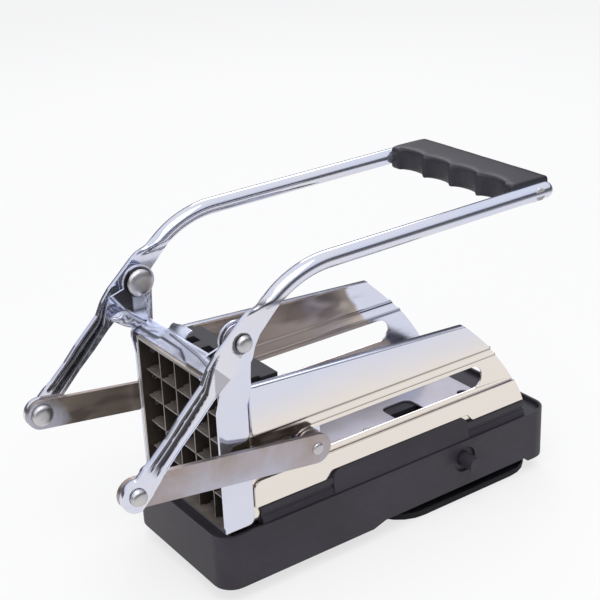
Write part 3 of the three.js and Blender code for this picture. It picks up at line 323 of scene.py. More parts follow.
class Signal:
    """Output of a shader node; +, - and * with it add the math nodes that they need."""

    def __init__(self, socket):
        self.socket = socket
        self.tree = socket.id_data

    def maths(self, operation, *others):
        return output_of(self.tree, "Math", 0, dict(enumerate((self, *others))), operation=operation)

    def __add__(self, other):
        return self.maths("ADD", other)

    def __sub__(self, other):
        return self.maths("SUBTRACT", other)

    def __rsub__(self, other):
        return self * -1.0 + other

    def __mul__(self, other):
        return self.maths("MULTIPLY", other)


def output_of(tree, kind, label, values=None, **settings):
    """One output of a new shader node."""
    return Signal(add_node(tree, kind, values, **settings).outputs[label])


def parts_of(vector):
    """X, Y and Z of a vector."""
    return [Signal(part) for part in add_node(vector.tree, "SeparateXYZ", {0: vector}).outputs]


def stretched(vector, *shape):
    """Vector with its X, Y and Z scaled by shape."""
    return output_of(vector.tree, "Mapping", 0, {"Vector": vector, "Scale": shape})


def noise(vector, scale, detail=2.0, roughness=0.55, distortion=0.0):
    """Cloudy value from 0 to 1."""
    values = {"Vector": vector, "Scale": scale, "Detail": detail}
    values.update({"Roughness": roughness, "Distortion": distortion})
    return output_of(vector.tree, "TexNoise", "Fac", values)


def ramp(value, low, high, low_to=0.0, high_to=1.0):
    """Value taken from low..high to low_to..high_to; each limit is a number or an output."""
    values = {"Value": value, "From Min": low, "From Max": high, "To Min": low_to, "To Max": high_to}
    return output_of(value.tree, "MapRange", "Result", values)


def mix_colours(mask, first, second):
    """Colour that goes from the first to the second as the mask goes from 0 to 1."""
    return output_of(mask.tree, "Mix", 2, {0: mask, 6: first, 7: second}, data_type="RGBA")


def mix_shaders(mask, first, second):
    """Shader that goes from the first to the second as the mask goes from 0 to 1."""
    return output_of(mask.tree, "MixShader", 0, {0: mask, 1: first, 2: second})


def open_group(name, inputs, *more_outputs):
    """New node group, its inputs as signals by name, and its vector.

    The default of an input tells its kind: four numbers make a colour and one number a value.
    """
    group = bpy.data.node_groups.new(name, "ShaderNodeTree")
    group.interface.new_socket("Vector", in_out="INPUT", socket_type="NodeSocketVector")
    for label, value in inputs.items():
        kind = "NodeSocketColor" if isinstance(value, tuple) else "NodeSocketFloat"
        group.interface.new_socket(label, in_out="INPUT", socket_type=kind).default_value = value
    for label in ("Color", "Roughness", "Height", *more_outputs):
        kind = "NodeSocketColor" if label == "Color" else "NodeSocketFloat"
        group.interface.new_socket(label, in_out="OUTPUT", socket_type=kind)
    given = {socket.name: Signal(socket) for socket in group.nodes.new("NodeGroupInput").outputs}
    return group, given, given["Vector"]


def close_group(group, given, colour, dirt, height, **more):
    """Sets the outputs of a node group; its roughness goes from Shine to Dull as dirt goes from 0 to 1."""
    rough = given["Shine"] + dirt * (given["Dull"] - given["Shine"])
    feed(group.nodes.new("NodeGroupOutput"), {"Color": colour, "Roughness": rough, "Height": height, **more})
    return group


def build_worn_steel():
    """Steel surface: tint by cloud, and by height as a painted floor reflection on the trough walls; painted
    shade on inner faces and in grooves; smears and drawn lines.

    A face counts as inner as far as its normal looks towards the middle plane of the part, between
    the slanting limits Inside Start and Inside End on x + z / 2. Inner faces get painted shade, darker in
    cloudy blots.
    """
    colours = dict.fromkeys(("Clean", "Stained", "Inner", "Dark"), PLAIN)
    limits = {"Inside": 0.0, "Inside Start": -1.0, "Inside End": 1.0, "Warm High": 1.0, "Warm Low": 0.9}
    values = {"Shade": 0.0, "Cloud Scale": 20.0, "Shine": 0.1, "Dull": 0.25, "Metal": 1.0}
    group, given, vector = open_group("worn_steel", {**colours, **limits, **values}, "Metallic")
    x, y, z = parts_of(vector)
    cloud = noise(vector, given["Cloud Scale"], 4.0, 0.6, 0.4)
    drift = (cloud - 0.5) * 0.04
    # Tint by cloud (stains) and by height; on the trough walls the warm tint low down is a painted reflection
    # of the floor.
    warm = ramp(z + drift, given["Warm High"], given["Warm Low"])
    tint = (ramp(cloud, 0.36, 0.68) * 0.4 + warm).maths("MINIMUM", 1.0)
    # Painted shade on faces that look in towards the middle plane, in front of the slanting limit.
    facing = parts_of(output_of(group, "NewGeometry", "Normal"))[1]
    facing_in = ramp(facing * y.maths("SIGN") * -1.0, 0.1, 0.5) * given["Inside"]
    along = x + z * 0.5 + drift * 1.2
    start, end = given["Inside Start"], given["Inside End"]
    inner = facing_in * ramp(along, end, end - 0.0025) * ramp(along, start, start + 0.012)
    outside = mix_colours(tint * (1.0 - facing_in), given["Clean"], given["Stained"])
    # Painted shade on inner faces, darker in cloudy blots.
    blots = noise(stretched(vector, 0.5, 1.0, 1.5), 32.0, 2.0, 0.5, 0.9)
    inside = mix_colours(ramp(blots, 0.5, 0.62, 0.0, 0.5), given["Inner"], given["Dark"])
    # Painted shade from the attribute shade, softer on inner faces.
    groove = given["Shade"] * (1.0 - facing_in * 0.6)
    surface = mix_colours(groove, mix_colours(inner, outside, inside), given["Dark"])
    patches = noise(stretched(vector, 0.35, 1.0, 1.6), 70.0, 5.0, 0.65, 1.2)
    spots = ramp(noise(vector, 260.0), 0.6, 0.78, 0.0, 0.35)
    dirt = ramp(patches, 0.45, 0.8).maths("MAXIMUM", spots)
    lines = noise(stretched(vector, 0.02, 1.0, 1.0), 2600.0)
    waves = noise(stretched(vector, 0.5, 1.0, 1.0), 34.0, 1.0)
    metallic = given["Metal"] * (1.0 - inner * 0.55)
    return close_group(group, given, surface, dirt, lines * 0.012 + waves, Metallic=metallic)


def build_blade_steel():
    """Blade steel: light where a face looks along X, the ground edges, and painted shade, brown-black, on the
    sides.

    The sides get painted light where they look up, a little lighter, and are cloudy.
    """
    colours = dict.fromkeys(("Edge", "Side", "Floor"), PLAIN)
    group, given, vector = open_group("blade_faces", {**colours, "Shine": 0.2, "Dull": 0.4})
    across, _, up = parts_of(output_of(group, "NewGeometry", "Normal"))
    cloud = noise(vector, 90.0, 4.0, 0.6, 0.6)
    # Painted shade on the blade sides, with painted light where they look up.
    side = mix_colours(ramp(up, 0.3, 0.9) * cloud, given["Side"], given["Floor"])
    surface = mix_colours(ramp(across.maths("ABSOLUTE"), 0.75, 0.92), side, given["Edge"])
    return close_group(group, given, surface, cloud, noise(stretched(vector, 0.05, 1.0, 1.0), 1400.0))


def build_moulded_skin():
    """Moulded plastic: fine spark grain, faint flow marks and a bloom of dust between two colours."""
    values = {"Body": PLAIN, "Bloom": PLAIN, "Grain Scale": 3000.0, "Shine": 0.4, "Dull": 0.6}
    group, given, vector = open_group("moulded_skin", values)
    cloud = noise(stretched(vector, 0.6, 1.0, 1.4), 26.0, 4.0, 0.6, 0.5)
    bloom = ramp(cloud, 0.4, 0.75) * ramp(noise(vector, 900.0), 0.3, 0.7, 0.5, 1.0)
    surface = mix_colours(bloom, given["Body"], given["Bloom"])
    return close_group(group, given, surface, cloud, noise(vector, given["Grain Scale"]) + cloud * 0.3)


def finish_from(group, name, values, bump, distance, metallic=0.0, specular=0.5):
    """Material whose colour, roughness and bump come from one node group on Object coordinates."""
    material = bpy.data.materials.new(name + FINISH_END)
    material.use_nodes = True
    tree = material.node_tree
    shader = tree.nodes["Principled BSDF"]
    node = add_node(tree, "Group", node_tree=group)
    feed(node, {label: value if isinstance(value, float) else opaque(value) for label, value in values.items()})
    feed(node, {"Vector": output_of(tree, "TexCoord", "Object")})
    # The attribute shade carries painted shade into the group.
    if "Shade" in node.inputs:
        feed(node, {"Shade": output_of(tree, "Attribute", "Fac", attribute_name="shade")})
    made = {output.name: Signal(output) for output in node.outputs}
    relief = output_of(tree, "Bump", 0, {"Strength": bump, "Distance": distance, "Height": made["Height"]})
    feed(shader, {"Base Color": made["Color"], "Roughness": made["Roughness"], "Normal": relief})
    feed(shader, {"Metallic": made.get("Metallic", metallic), "Specular IOR Level": specular})


def opaque(value):
    """Colour of three numbers with its full alpha."""
    return (*value, 1.0)


class CUTTER_OT_finishes(bpy.types.Operator):
    """Build the steel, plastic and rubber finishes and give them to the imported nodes."""

    bl_idname = "cutter.finishes"
    bl_label = "Finishes"

    def execute(self, context):
        tint = context.scene.cutter_colours
        steel, skin = build_worn_steel(), build_moulded_skin()
        polished = {"Clean": tint.steel_cool, "Stained": tint.steel_warm, "Inner": tint.steel_inner}
        # Dark is the painted shade colour of grooves, folds and inner blots.
        polished.update({"Dark": tint.groove_shade, "Warm High": -1.0, "Warm Low": -1.1})
        satin = {**polished, "Clean": tint.satin_cool, "Stained": tint.satin_warm}
        # Trough walls: painted floor reflection below the Warm limits, painted shade on inner faces.
        walls = {**polished, "Inside": 1.0, "Inside End": 0.1, "Warm High": 0.092, "Warm Low": 0.072}
        # Links: painted shade on their inner faces.
        links = {**satin, "Inner": tint.satin_inner, "Inside": 1.0, "Inside Start": -0.075}
        links.update({"Warm High": 0.055, "Warm Low": 0.085})
        lock, rivet = {**polished, "Stained": tint.steel_cool}, {**polished, "Clean": tint.rivet}
        for name, values, cloud, shine, dull, metal, bump, waves in (
            ("polished_steel", polished, 14.0, 0.07, 0.2, 1.0, 0.35, 0.3 * MM),
            ("trough_steel", walls, 9.0, 0.09, 0.24, 1.0, 0.35, 0.3 * MM),
            ("arm_steel", polished, 20.0, 0.06, 0.16, 0.9, 0.3, 0.2 * MM),
            ("lock_steel", lock, 30.0, 0.2, 0.4, 0.5, 0.35, 0.3 * MM),
            ("rivet_steel", rivet, 160.0, 0.34, 0.5, 1.0, 0.35, 0.1 * MM),
            ("satin_steel", links, 40.0, 0.3, 0.46, 0.85, 0.3, 0.2 * MM),
            ("floor_steel", satin, 40.0, 0.3, 0.5, 0.5, 0.35, 0.3 * MM),
        ):
            surface = {"Cloud Scale": cloud, "Shine": shine, "Dull": dull, "Metal": metal}
            finish_from(steel, name, {**values, **surface}, bump, waves)
        # Side is painted shade inside the grid; Floor, the trough's inner colour, is painted light on sides
        # that look up.
        values = {"Edge": tint.blade, "Side": tint.blade_side_shade, "Floor": tint.steel_inner}
        finish_from(build_blade_steel(), "blade_steel", values, 0.2, 0.1 * MM, metallic=0.45)
        grain = 1.0 / context.scene.cutter_sizes.grain
        for name, body, bloom, shine, dull, specular in (
            ("base_plastic", tint.base, tint.base_dust, 0.34, 0.56, 0.3),
            ("grip_plastic", tint.grip, tint.base_dust, 0.32, 0.5, 0.4),
            ("pusher_plastic", tint.pusher, tint.base_dust, 0.34, 0.55, 0.3),
            ("rubber", tint.rubber, tint.base, 0.5, 0.8, 0.2),
        ):
            values = {"Body": body, "Bloom": bloom, "Grain Scale": grain, "Shine": shine, "Dull": dull}
            finish_from(skin, name, values, 0.25, 0.06 * MM, specular=specular)
        for node, piece in NODES.items():
            piece.data.materials.clear()
            piece.data.materials.append(finish_of(node))
        return {"FINISHED"}


# Formed pieces


def arm_widths(along, sizes):
    """Front and rear half width of the arm at each place along it, in metres from its middle line.

    They follow an eye, a narrow shank, a wide plate round the pivot and then the tube.
    """
    front_at = (10.0, 14.0, 24.0, 33.0, 49.0, 54.8, 61.4, 68.0, 78.0, 82.0, 86.5, 92.0)
    front_is = (4.7, 4.1, 3.9, 4.5, 4.5, 6.6, 7.4, 7.1, 6.9, 6.4, 4.6, 3.8)
    rear_at = (0.0, 8.0, 14.0, 25.0, 36.0, 47.0, 57.3, 60.8, 63.3, 66.5, 69.0, 73.7, 78.5, 92.0)
    rear_is = (5.7, 5.1, 4.6, 4.2, 4.5, 4.3, 5.0, 5.6, 7.4, 8.6, 8.3, 5.6, 4.2, 3.8)
    place = along / MM
    eye = np.sqrt(np.clip(sizes.eye_radius**2 - np.clip(along, -sizes.eye_radius, None) ** 2, 0.0, None))
    before_shank = along < sizes.eye_radius * 0.6
    widths = []
    for spots, halves, limit in ((front_at, front_is, 1.0), (rear_at, rear_is, 0.83)):
        shank = np.interp(place, spots, halves) * MM
        lobe = np.minimum(eye, limit * sizes.eye_radius)
        widths.append(np.where(before_shank, lobe, np.maximum(lobe, shank)))
    return widths


def arm_path(sizes):
    """Middle line of an arm from the crank pin to its tube end, as (distance, x, z, angle, shrink) rows."""
    box_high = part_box("lever_arm_near")[1]
    reach = np.linalg.norm(PIVOT - CRANK)
    tilt = math.atan2(*(PIVOT - CRANK)[::-1])
    rise = 0.0175
    bend = sizes.tube_bend
    straight = reach + sizes.tube_corner - bend * math.tan((tilt - rise) / 2)
    forward = np.array([math.cos(tilt), math.sin(tilt)])
    centre = CRANK + forward * straight + bend * np.array([math.sin(tilt), -math.cos(tilt)])
    turn = np.linspace(tilt, rise, 40)[1:]
    arc = centre + bend * np.stack([-np.sin(turn), np.cos(turn)], axis=1)
    head = -sizes.eye_radius * np.cos(np.linspace(0.02, np.pi / 2, 22))
    early = np.concatenate([head, np.linspace(0.0, straight, 230)[1:]])
    line = CRANK + early[:, None] * forward
    tube_direction = np.array([math.cos(rise), math.sin(rise)])
    run = (box_high[0] - sizes.tube_radius - arc[-1, 0]) / tube_direction[0]
    rear = arc[-1] + np.linspace(0.0, run, 30)[1:, None] * tube_direction
    cap_turn = np.linspace(0.0, np.pi / 2, 12)[1:-1]
    cap = rear[-1] + sizes.tube_radius * np.sin(cap_turn)[:, None] * tube_direction
    points = np.concatenate([line, arc, rear, cap])
    angles = np.concatenate([np.full(len(early), tilt), turn, np.full(len(rear) + len(cap), rise)])
    gaps = np.linalg.norm(np.diff(points, axis=0), axis=1)
    distance = early[0] + np.concatenate([[0.0], np.cumsum(gaps)])
    shrink = np.ones(len(points))
    shrink[-len(cap):] = np.cos(cap_turn)
    return np.stack([distance, points[:, 0], points[:, 1], angles, shrink], axis=1)


def arm_channel(along, offset, front):
    """Depth share and painted shade of the pressed channel at places along and across the arm, in mm.

    u runs from 0 at the bright front rim to 1 at the edge of the plain rear strip. The depth is a
    smooth well in u with a low ridge at its middle, and both ends of the channel run out.
    """
    edge_at = (10.0, 23.0, 32.0, 42.0, 47.3, 51.4, 56.9, 60.8, 64.0)
    edge_is = (-2.8, -2.4, -2.3, -1.6, -1.1, 1.5, 4.6, 5.9, 6.9)
    edge = np.interp(along, edge_at, edge_is)
    u = (front - offset) / np.maximum(front - edge, 0.4)
    well = soft_step(u, 0.06, 0.24) * (1.0 - soft_step(u, 0.84, 1.0))
    ridge = bell(u, 0.47, 0.075)
    ends = soft_step(along, 8.5, 15.0) * (1.0 - soft_step(along, 58.0, 64.0))
    depth = well * (1.0 - 0.55 * ridge) * ends
    # Painted shade in the channel, lighter on its ridge.
    dark = well * ends * (1.0 - 0.75 * ridge) * (0.86 + 0.12 * soft_step(u, 0.5, 0.8))
    return depth, dark


def arm_surface(side, sizes):
    """Arm skin: at each station a superellipse stands square to the path, flat first and round later.

    The plate turns into the tube along the slanted line distance + 1.25 * offset. The outer face
    carries the pressed channel, and a facet slopes from the rear strip to the plate.
    """
    path = arm_path(sizes)
    front, rear = (width * path[:, 4] for width in arm_widths(path[:, 0], sizes))
    place = path[:, 0][:, None] / MM
    face_steps, lip_steps = 46, 3
    face_turn = np.linspace(0.06, np.pi - 0.06, face_steps)
    lip_turn = np.linspace(-0.03, 0.03, lip_steps)
    turn = np.concatenate([face_turn, np.pi + lip_turn, np.pi + face_turn, lip_turn])
    face = np.linspace(0.985, -0.985, face_steps)
    flat_across = np.concatenate([face, np.full(lip_steps, -1.0), -face, np.full(lip_steps, 1.0)])
    lip = np.linspace(0.75, -0.75, lip_steps)
    flat_out = np.concatenate([np.ones(face_steps), lip, -np.ones(face_steps), -lip])
    round_across, round_out = np.cos(turn), np.sin(turn)
    rounding = soft_step(place, 80.0, 96.0)
    across = flat_across + (round_across - flat_across) * rounding
    offset = np.where(across > 0, across * front[:, None], across * rear[:, None])
    spread = offset / MM
    slant = place + 1.25 * spread
    tube = soft_step(slant, 86.5, 93.5) * soft_step(place, 78.0, 90.0)
    thick = flat_out * sizes.arm_plate * (1.0 - tube) + round_out * sizes.tube_radius * tube
    thick = thick * path[:, 4][:, None]
    outer = (flat_out > 0.9) * (1.0 - tube)
    inner = (flat_out < -0.9) * (1.0 - tube)
    depth, dark = arm_channel(place, spread, front[:, None] / MM)
    strip = 0.7 * MM * np.clip((57.2 - place) / 9.0, 0.0, 1.0) * soft_step(place, 8.0, 16.0)
    y = thick - outer * np.maximum(sizes.arm_channel * depth, strip) + inner * 0.4 * sizes.arm_channel * depth
    # Painted shade in the pocket where the plate turns into the tube.
    pocket_shade = bell(slant, 92.5, 1.8) * soft_step(place, 80.0, 84.0) * 0.8 * (flat_out > -0.5)
    facet_line = np.interp(place, (48.0, 56.9), (-4.6, 4.9))
    # Painted shade on the facet that slopes from the rear strip to the plate.
    facet = 0.4 * outer * (place > 48.0) * (place < 57.2) * (spread < facet_line)
    # Painted shade in a ring round the rivet head.
    rivet_ring_shade = 0.85 * outer * (np.hypot(place - 71.25, spread - 0.65) < 4.55)
    mark = (place > 66.2) * (spread < 0.2 + (67.6 - place) * 2.3) * (spread > -3.0) * (place < 68.4)
    painted = (outer * dark, inner * dark * 0.9, pocket_shade, facet, rivet_ring_shade, 0.3 * outer * mark)
    shade = np.clip(np.maximum.reduce(painted), 0.0, 0.95)
    low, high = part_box("lever_arm_near" if side < 0 else "lever_arm_far")
    y = (low[1] + high[1]) / 2 + side * y
    normal_x, normal_z = -np.sin(path[:, 3])[:, None], np.cos(path[:, 3])[:, None]
    x = path[:, 1][:, None] + normal_x * offset
    z = path[:, 2][:, None] + normal_z * offset
    return capped(stacked(x, y, z, shade))


class CUTTER_OT_arms(bpy.types.Operator):
    """Form both lever arms: eye, pressed channel, flat plate, bend and tube in one skin."""

    bl_idname = "cutter.arms"
    bl_label = "Lever arms"

    def execute(self, context):
        sizes = context.scene.cutter_sizes
        for word, side in SIDES:
            rings = arm_surface(side, sizes)
            put_mesh(f"arm_tube_{word}", f"lever_arm_{word}", *grid_mesh(rings, True), smooth=40.0)
        return {"FINISHED"}


def grip_surface(sizes):
    """Grip skin: a rounded oblong section in X and Z, carried along Y between the tubes.

    Its front edge moves back by flute_depth * sqrt(1 - (2 s) ** 2) over each flute, s from -1/2 to
    1/2, and the section shrinks on a quarter circle towards both ends.
    """
    low, high = (np.array(corner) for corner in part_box("grip"))
    flute_count, flute_width = 4, 18.6 * MM
    half = (high[1] - low[1]) / 2
    corner = 1.2 * MM
    end_turn = np.linspace(0, np.pi / 2, 8)
    tip = half - corner + corner * np.sin(end_turn[1:])
    y = np.concatenate([-tip[::-1], np.linspace(-1, 1, 220) * (half - corner), tip])
    inset = np.clip(np.abs(y) - (half - corner), 0.0, corner)
    drop = corner - np.sqrt(np.clip(corner**2 - inset**2, 0.0, None))
    place = (y / flute_width + flute_count / 2) % 1.0 - 0.5
    inside = np.abs(y) < flute_width * flute_count / 2
    flute = np.where(inside, np.sqrt(np.clip(1 - (2 * place) ** 2, 0, 1)), 0.0) ** 1.2
    front = low[0] + 1.4 * MM + sizes.flute_depth * flute * 0.9 + drop
    rear = high[0] - drop
    thick = (high[2] - low[2]) / 2 - drop * 0.8
    across, up = rounded_power(np.linspace(0, 2 * np.pi, 96, endpoint=False), 7.0)
    x = (front + rear)[:, None] / 2 + across[None, :] * (rear - front)[:, None] / 2
    z = (low[2] + high[2]) / 2 + up[None, :] * thick[:, None]
    return capped(stacked(x, y[:, None] + (low[1] + high[1]) / 2, z))


class CUTTER_OT_grip(bpy.types.Operator):
    """Form the moulded grip with its four finger flutes."""

    bl_idname = "cutter.grip"
    bl_label = "Grip"

    def execute(self, context):
        rings = grip_surface(context.scene.cutter_sizes)
        put_mesh("grip_moulded", "grip", *grid_mesh(rings, True), smooth=60.0)
        return {"FINISHED"}


def domed(radius, rise, face, direction, steps=14):
    """Profile of a head from rim to pole: radius * cos(a) ** 0.6 out from face by rise * sin(a)."""
    turn = np.linspace(0, np.pi / 2, steps)
    across = radius * np.cos(turn) ** 0.6
    across[-1] = 0.0
    return np.stack([across, face + direction * rise * np.sin(turn)], axis=1)


def ends_of(node, side):
    """Middle of a round piece in X and Z and the places of its inner and outer end in Y."""
    low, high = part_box(node)
    inner, outer = (high[1], low[1]) if side < 0 else (low[1], high[1])
    return (low[0] + high[0]) / 2, (low[2] + high[2]) / 2, inner, outer


class CUTTER_OT_rivets(bpy.types.Operator):
    """Turn the domed rivets of the pivots, crank pins and link ends."""

    bl_idname = "cutter.rivets"
    bl_label = "Rivets"

    def execute(self, context):
        inner_rise, outer_rise, outer_radius, shank = 2.2 * MM, 2.1 * MM, 3.7 * MM, 2.5 * MM
        end_rise, end_radius, end_shank = 0.9 * MM, 2.8 * MM, 1.9 * MM
        for word, side in SIDES:
            for kind, inner_radius in (("pivot_rivet", 6.3 * MM), ("crank_rivet", 5.1 * MM)):
                x, z, inner, outer = ends_of(f"{kind}_{word}", side)
                inner_face, outer_face = inner + side * inner_rise, outer - side * outer_rise
                inner_head = domed(inner_radius, inner_rise, inner_face, -side)[::-1]
                outer_head = domed(outer_radius, outer_rise, outer_face, side)
                barrel = [[shank, inner_face], [shank, outer_face]]
                self.turn(f"{kind}_{word}", np.concatenate([inner_head, barrel, outer_head]), x, z)
            x, z, inner, outer = ends_of(f"link_end_rivet_{word}", side)
            face = outer - side * end_rise
            barrel = [[0.0, inner], [end_shank, inner], [end_shank, face]]
            head = domed(end_radius, end_rise, face, side)
            self.turn(f"link_end_rivet_{word}", np.concatenate([barrel, head]), x, z)
        return {"FINISHED"}

    def turn(self, node, profile, x, z):
        put_mesh(node + "_head", node, *grid_mesh(turned(profile, x, z), True), smooth=40.0)


SLOT_MID = (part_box("pusher_pin")[0][2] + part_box("pusher_pin")[1][2]) / 2
SLOT_RADIUS = 5.8 * MM
SLOT_REACH = (6.4 * MM, 142.8 * MM)
SKIRT_GAP = 0.3 * MM
CREST_DROP = 7.0 * MM
WALL_SWEEP = 41.5 * MM
SWEEP_POWER = 1.65
CREASES = (71.0 * MM, 76.3 * MM)
# Painted shade lines along the folds: height above the lower crease and width, in mm.
WALL_FOLDS = ((0.1, 0.6), (5.2, 0.75))


def wall_limits(side):
    """Two corners of the box of a trough wall, and the place of its flat sheet's outer face in Y."""
    low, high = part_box("side_wall_near" if side < 0 else "side_wall_far")
    skirt_low, skirt_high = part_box("side_skirt_near" if side < 0 else "side_skirt_far")
    outer = skirt_high[1] + SKIRT_GAP if side < 0 else skirt_low[1] - SKIRT_GAP
    return low, high, outer


def rear_edge(z, low, high):
    """Swept rear edge of the wall: it starts at the rear end and falls forward as a power of height."""
    crest = high[2] - CREST_DROP
    part = np.clip((z - low[2]) / (crest - low[2]), 0.0, None)
    return high[0] - WALL_SWEEP * part**SWEEP_POWER


def bulge_surface(side, sizes):
    """Outer skin of the bulged panel: a smooth section in Y and Z carried along X to the rear edge.

    The section's distance from the flat sheet grows on a quarter circle over the front bend, and the
    crest falls evenly towards the rear. Each of the WALL_FOLDS is a painted shade line along a fold,
    given as its height above the lower crease and its width in mm.
    """
    low, high, outer = wall_limits(side)
    (crease_low, crease_high), crest = CREASES, high[2]
    rise = np.array([0.25, 0.45, 0.7, 0.88, 0.955, 0.978, 0.995]) * (crest - crease_high) / MM
    low_z, high_z, top_z = crease_low / MM, crease_high / MM, crest / MM
    out = (0.0, 0.0, 0.6, 0.75, 0.95, 1.1, 1.9, 2.15, 2.3, 2.35, 2.2, 2.1, 2.02, 1.95, 1.7, 1.3, 0.2, -1.4)
    fold = (low_z - 0.3, low_z, low_z + 0.3, low_z + 0.9, low_z + 3.0, high_z - 0.4, high_z + 0.2, high_z + 1.0)
    height = np.concatenate([fold, high_z + rise, [top_z, top_z, top_z - 0.05]])
    curve = spline(np.stack([out, height], axis=1) * MM, 150)
    above = (curve[:, 1] - crease_low) / MM
    folds = sum(bell(above, middle, width) for middle, width in WALL_FOLDS)
    front = low[0] + 12.3 * MM
    share_along = np.concatenate([np.linspace(0, 0.035, 14)[:-1], np.linspace(0.035, 1.0, 90)])
    up = np.clip((curve[:, 1] - crease_high) / (crest - crease_high), 0.0, None)
    z = np.repeat(curve[:, 1][None, :], len(share_along), axis=0)
    end = high[0] - WALL_SWEEP
    for _ in range(3):
        rear = rear_edge(z, low, high)
        x = front + share_along[:, None] * (rear - front)
        z = curve[:, 1][None, :] - CREST_DROP * (x - front) / (end - front) * up[None, :]
    bend = np.clip((x - front) / sizes.bulge_round, 0.0, 1.0)
    grow = np.sqrt(1.0 - (1.0 - bend) ** 2)
    y = outer + side * np.where(curve[:, 0] > 0, curve[:, 0] * grow, curve[:, 0])
    return stacked(x, y, z, np.clip(folds, 0.0, 0.95) * soft_step(x, front, front + 3.0 * MM))


def wall_sheet(side):
    """Flat sheet of the wall with its round-ended slot: outline and slot, filled with triangles."""
    low, high, outer = wall_limits(side)
    top = CREASES[0]
    heights = np.linspace(low[2], top, 28)
    sweep = np.stack([rear_edge(heights, low, high), heights], axis=1)
    nose_rear = low[0] + 13.3 * MM
    nose_top = high[2] - 1.4 * MM
    nose = [[nose_rear, top], [nose_rear, nose_top], [low[0], nose_top]]
    outline = np.concatenate([[[low[0], low[2]]], sweep, nose])
    start, end = (low[0] + reach for reach in SLOT_REACH)
    turn = np.linspace(-np.pi / 2, np.pi / 2, 20)
    half_round = SLOT_RADIUS * np.stack([np.cos(turn), np.sin(turn)], axis=1)
    rear_round = [end - SLOT_RADIUS, SLOT_MID] + half_round
    slot = np.concatenate([rear_round, [start + SLOT_RADIUS, SLOT_MID] - half_round])
    loops = [[Vector((x, z, 0.0)) for x, z in loop] for loop in (outline, slot)]
    faces = [list(face) for face in tessellate_polygon(loops)]
    flat = np.concatenate([outline, slot])
    points = np.stack([flat[:, 0], np.full(len(flat), outer), flat[:, 1]], axis=1)
    return points, faces


def put_sheet(name, node, skin, way, axis, depth, edge, smooth=35.0):
    """Piece from an open skin whose faces look one way, 1 or -1, along an axis, X, Y or Z as 0, 1 or 2.

    It gets its thickness behind that face, and then its cut edge is rounded.
    """
    piece = put_mesh(name, node, *skin, smooth=smooth)
    with edited(piece.data) as work:
        bmesh.ops.recalc_face_normals(work, faces=work.faces)
        total = sum((face.normal[axis] * face.calc_area() for face in work.faces), 0.0)
        if total * way < 0:
            bmesh.ops.reverse_faces(work, faces=work.faces)
    solid = piece.modifiers.new("sheet", "SOLIDIFY")
    solid.thickness = depth
    solid.offset = -1.0
    solid.use_even_offset = True
    add_bevel(piece, "cut_edge", edge, 2, 50.0)


class CUTTER_OT_trough(bpy.types.Operator):
    """Form the trough walls: flat slotted sheet and bulged upper panel on each side."""

    bl_idname = "cutter.trough"
    bl_label = "Trough walls"

    def execute(self, context):
        sizes = context.scene.cutter_sizes
        for word, side in SIDES:
            node = f"side_wall_{word}"
            edge = sizes.edge_round
            put_sheet(f"wall_sheet_{word}", node, wall_sheet(side), side, 1, sizes.sheet * 0.96, edge)
            panel = grid_mesh(bulge_surface(side, sizes), False)
            put_sheet(f"wall_panel_{word}", node, panel, side, 1, sizes.sheet, edge, smooth=60.0)
        return {"FINISHED"}


def lock_strip(sizes):
    """Strip of the lock bracket: its middle line rises to the rear and its rear edge rolls up.

    A rib crosses it on a slant near the near end, as a bell of rib_height across its line, with a line of
    painted shade beside it, and the front edge drops away in a notch near the far end. Painted shade
    also lies in the notch and as crumples near the far end, and a darker patch lies in the middle.
    """
    low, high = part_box("lock_bracket")
    half = high[1] / MM - 0.8
    near = np.linspace(half, -half, 260)[:, None]
    y = -near * MM
    v = np.linspace(0.0, 1.0, 60)[None, :]
    x = low[0] + (12.1 + 8.4 * v) * MM
    rolled = 0.7 * MM * soft_step(v, 0.84, 1.0) * soft_step(near, -22.0, 30.0)
    line = np.interp(near, (-20.0, 8.0, 26.0), (0.95, 0.7, 0.34))
    rib = bell(v, line, 0.07) * soft_step(near, -24.0, -14.0) * (1.0 - soft_step(near, 24.0, 28.0))
    # Painted shade beside the rib.
    groove = 0.9 * bell(v, line - 0.13, 0.05) * (rib.max(axis=1, keepdims=True) > 0.5)
    tongue = np.interp(near, (-30.0, -22.0, -20.0, -4.0, 6.0, 38.0), (0.25, 0.3, 0.42, 0.42, 0.0, 0.0))
    drop = 1.1 * MM * (1.0 - soft_step(v, tongue * 0.5, tongue + 0.05)) * (tongue > 0.01)
    z = low[2] + (0.9 + 2.6 * v) * MM + rolled + sizes.rib_height * rib - drop
    cloud = 0.5 + 0.5 * np.sin(y * 260.0 + 7.0 * v) * np.cos(y * 117.0 - 3.0 * v)
    # A darker patch in the middle of the strip.
    middle = soft_step(near, -16.0, -2.0) * (1.0 - soft_step(near, 14.0, 24.0)) * (v < 0.9)
    patches = middle * (0.3 + 0.2 * cloud)
    # Painted shade in the notch.
    notch = 0.8 * (np.abs(v - tongue) < 0.06) * (tongue > 0.1)
    # Painted shade of crumples near the far end.
    wrinkle = np.sin(x * 1500.0 + 1.6 * np.sin(y * 420.0)) * np.cos(y * 380.0 + x * 900.0)
    crumple_shade = 0.55 * soft_step(-near, 17.0, 26.0) * soft_step(wrinkle, -0.2, 1.0)
    shade = np.clip(np.maximum.reduce([groove, patches, notch, crumple_shade]), 0.0, 0.92)
    return stacked(x, y, z, shade)


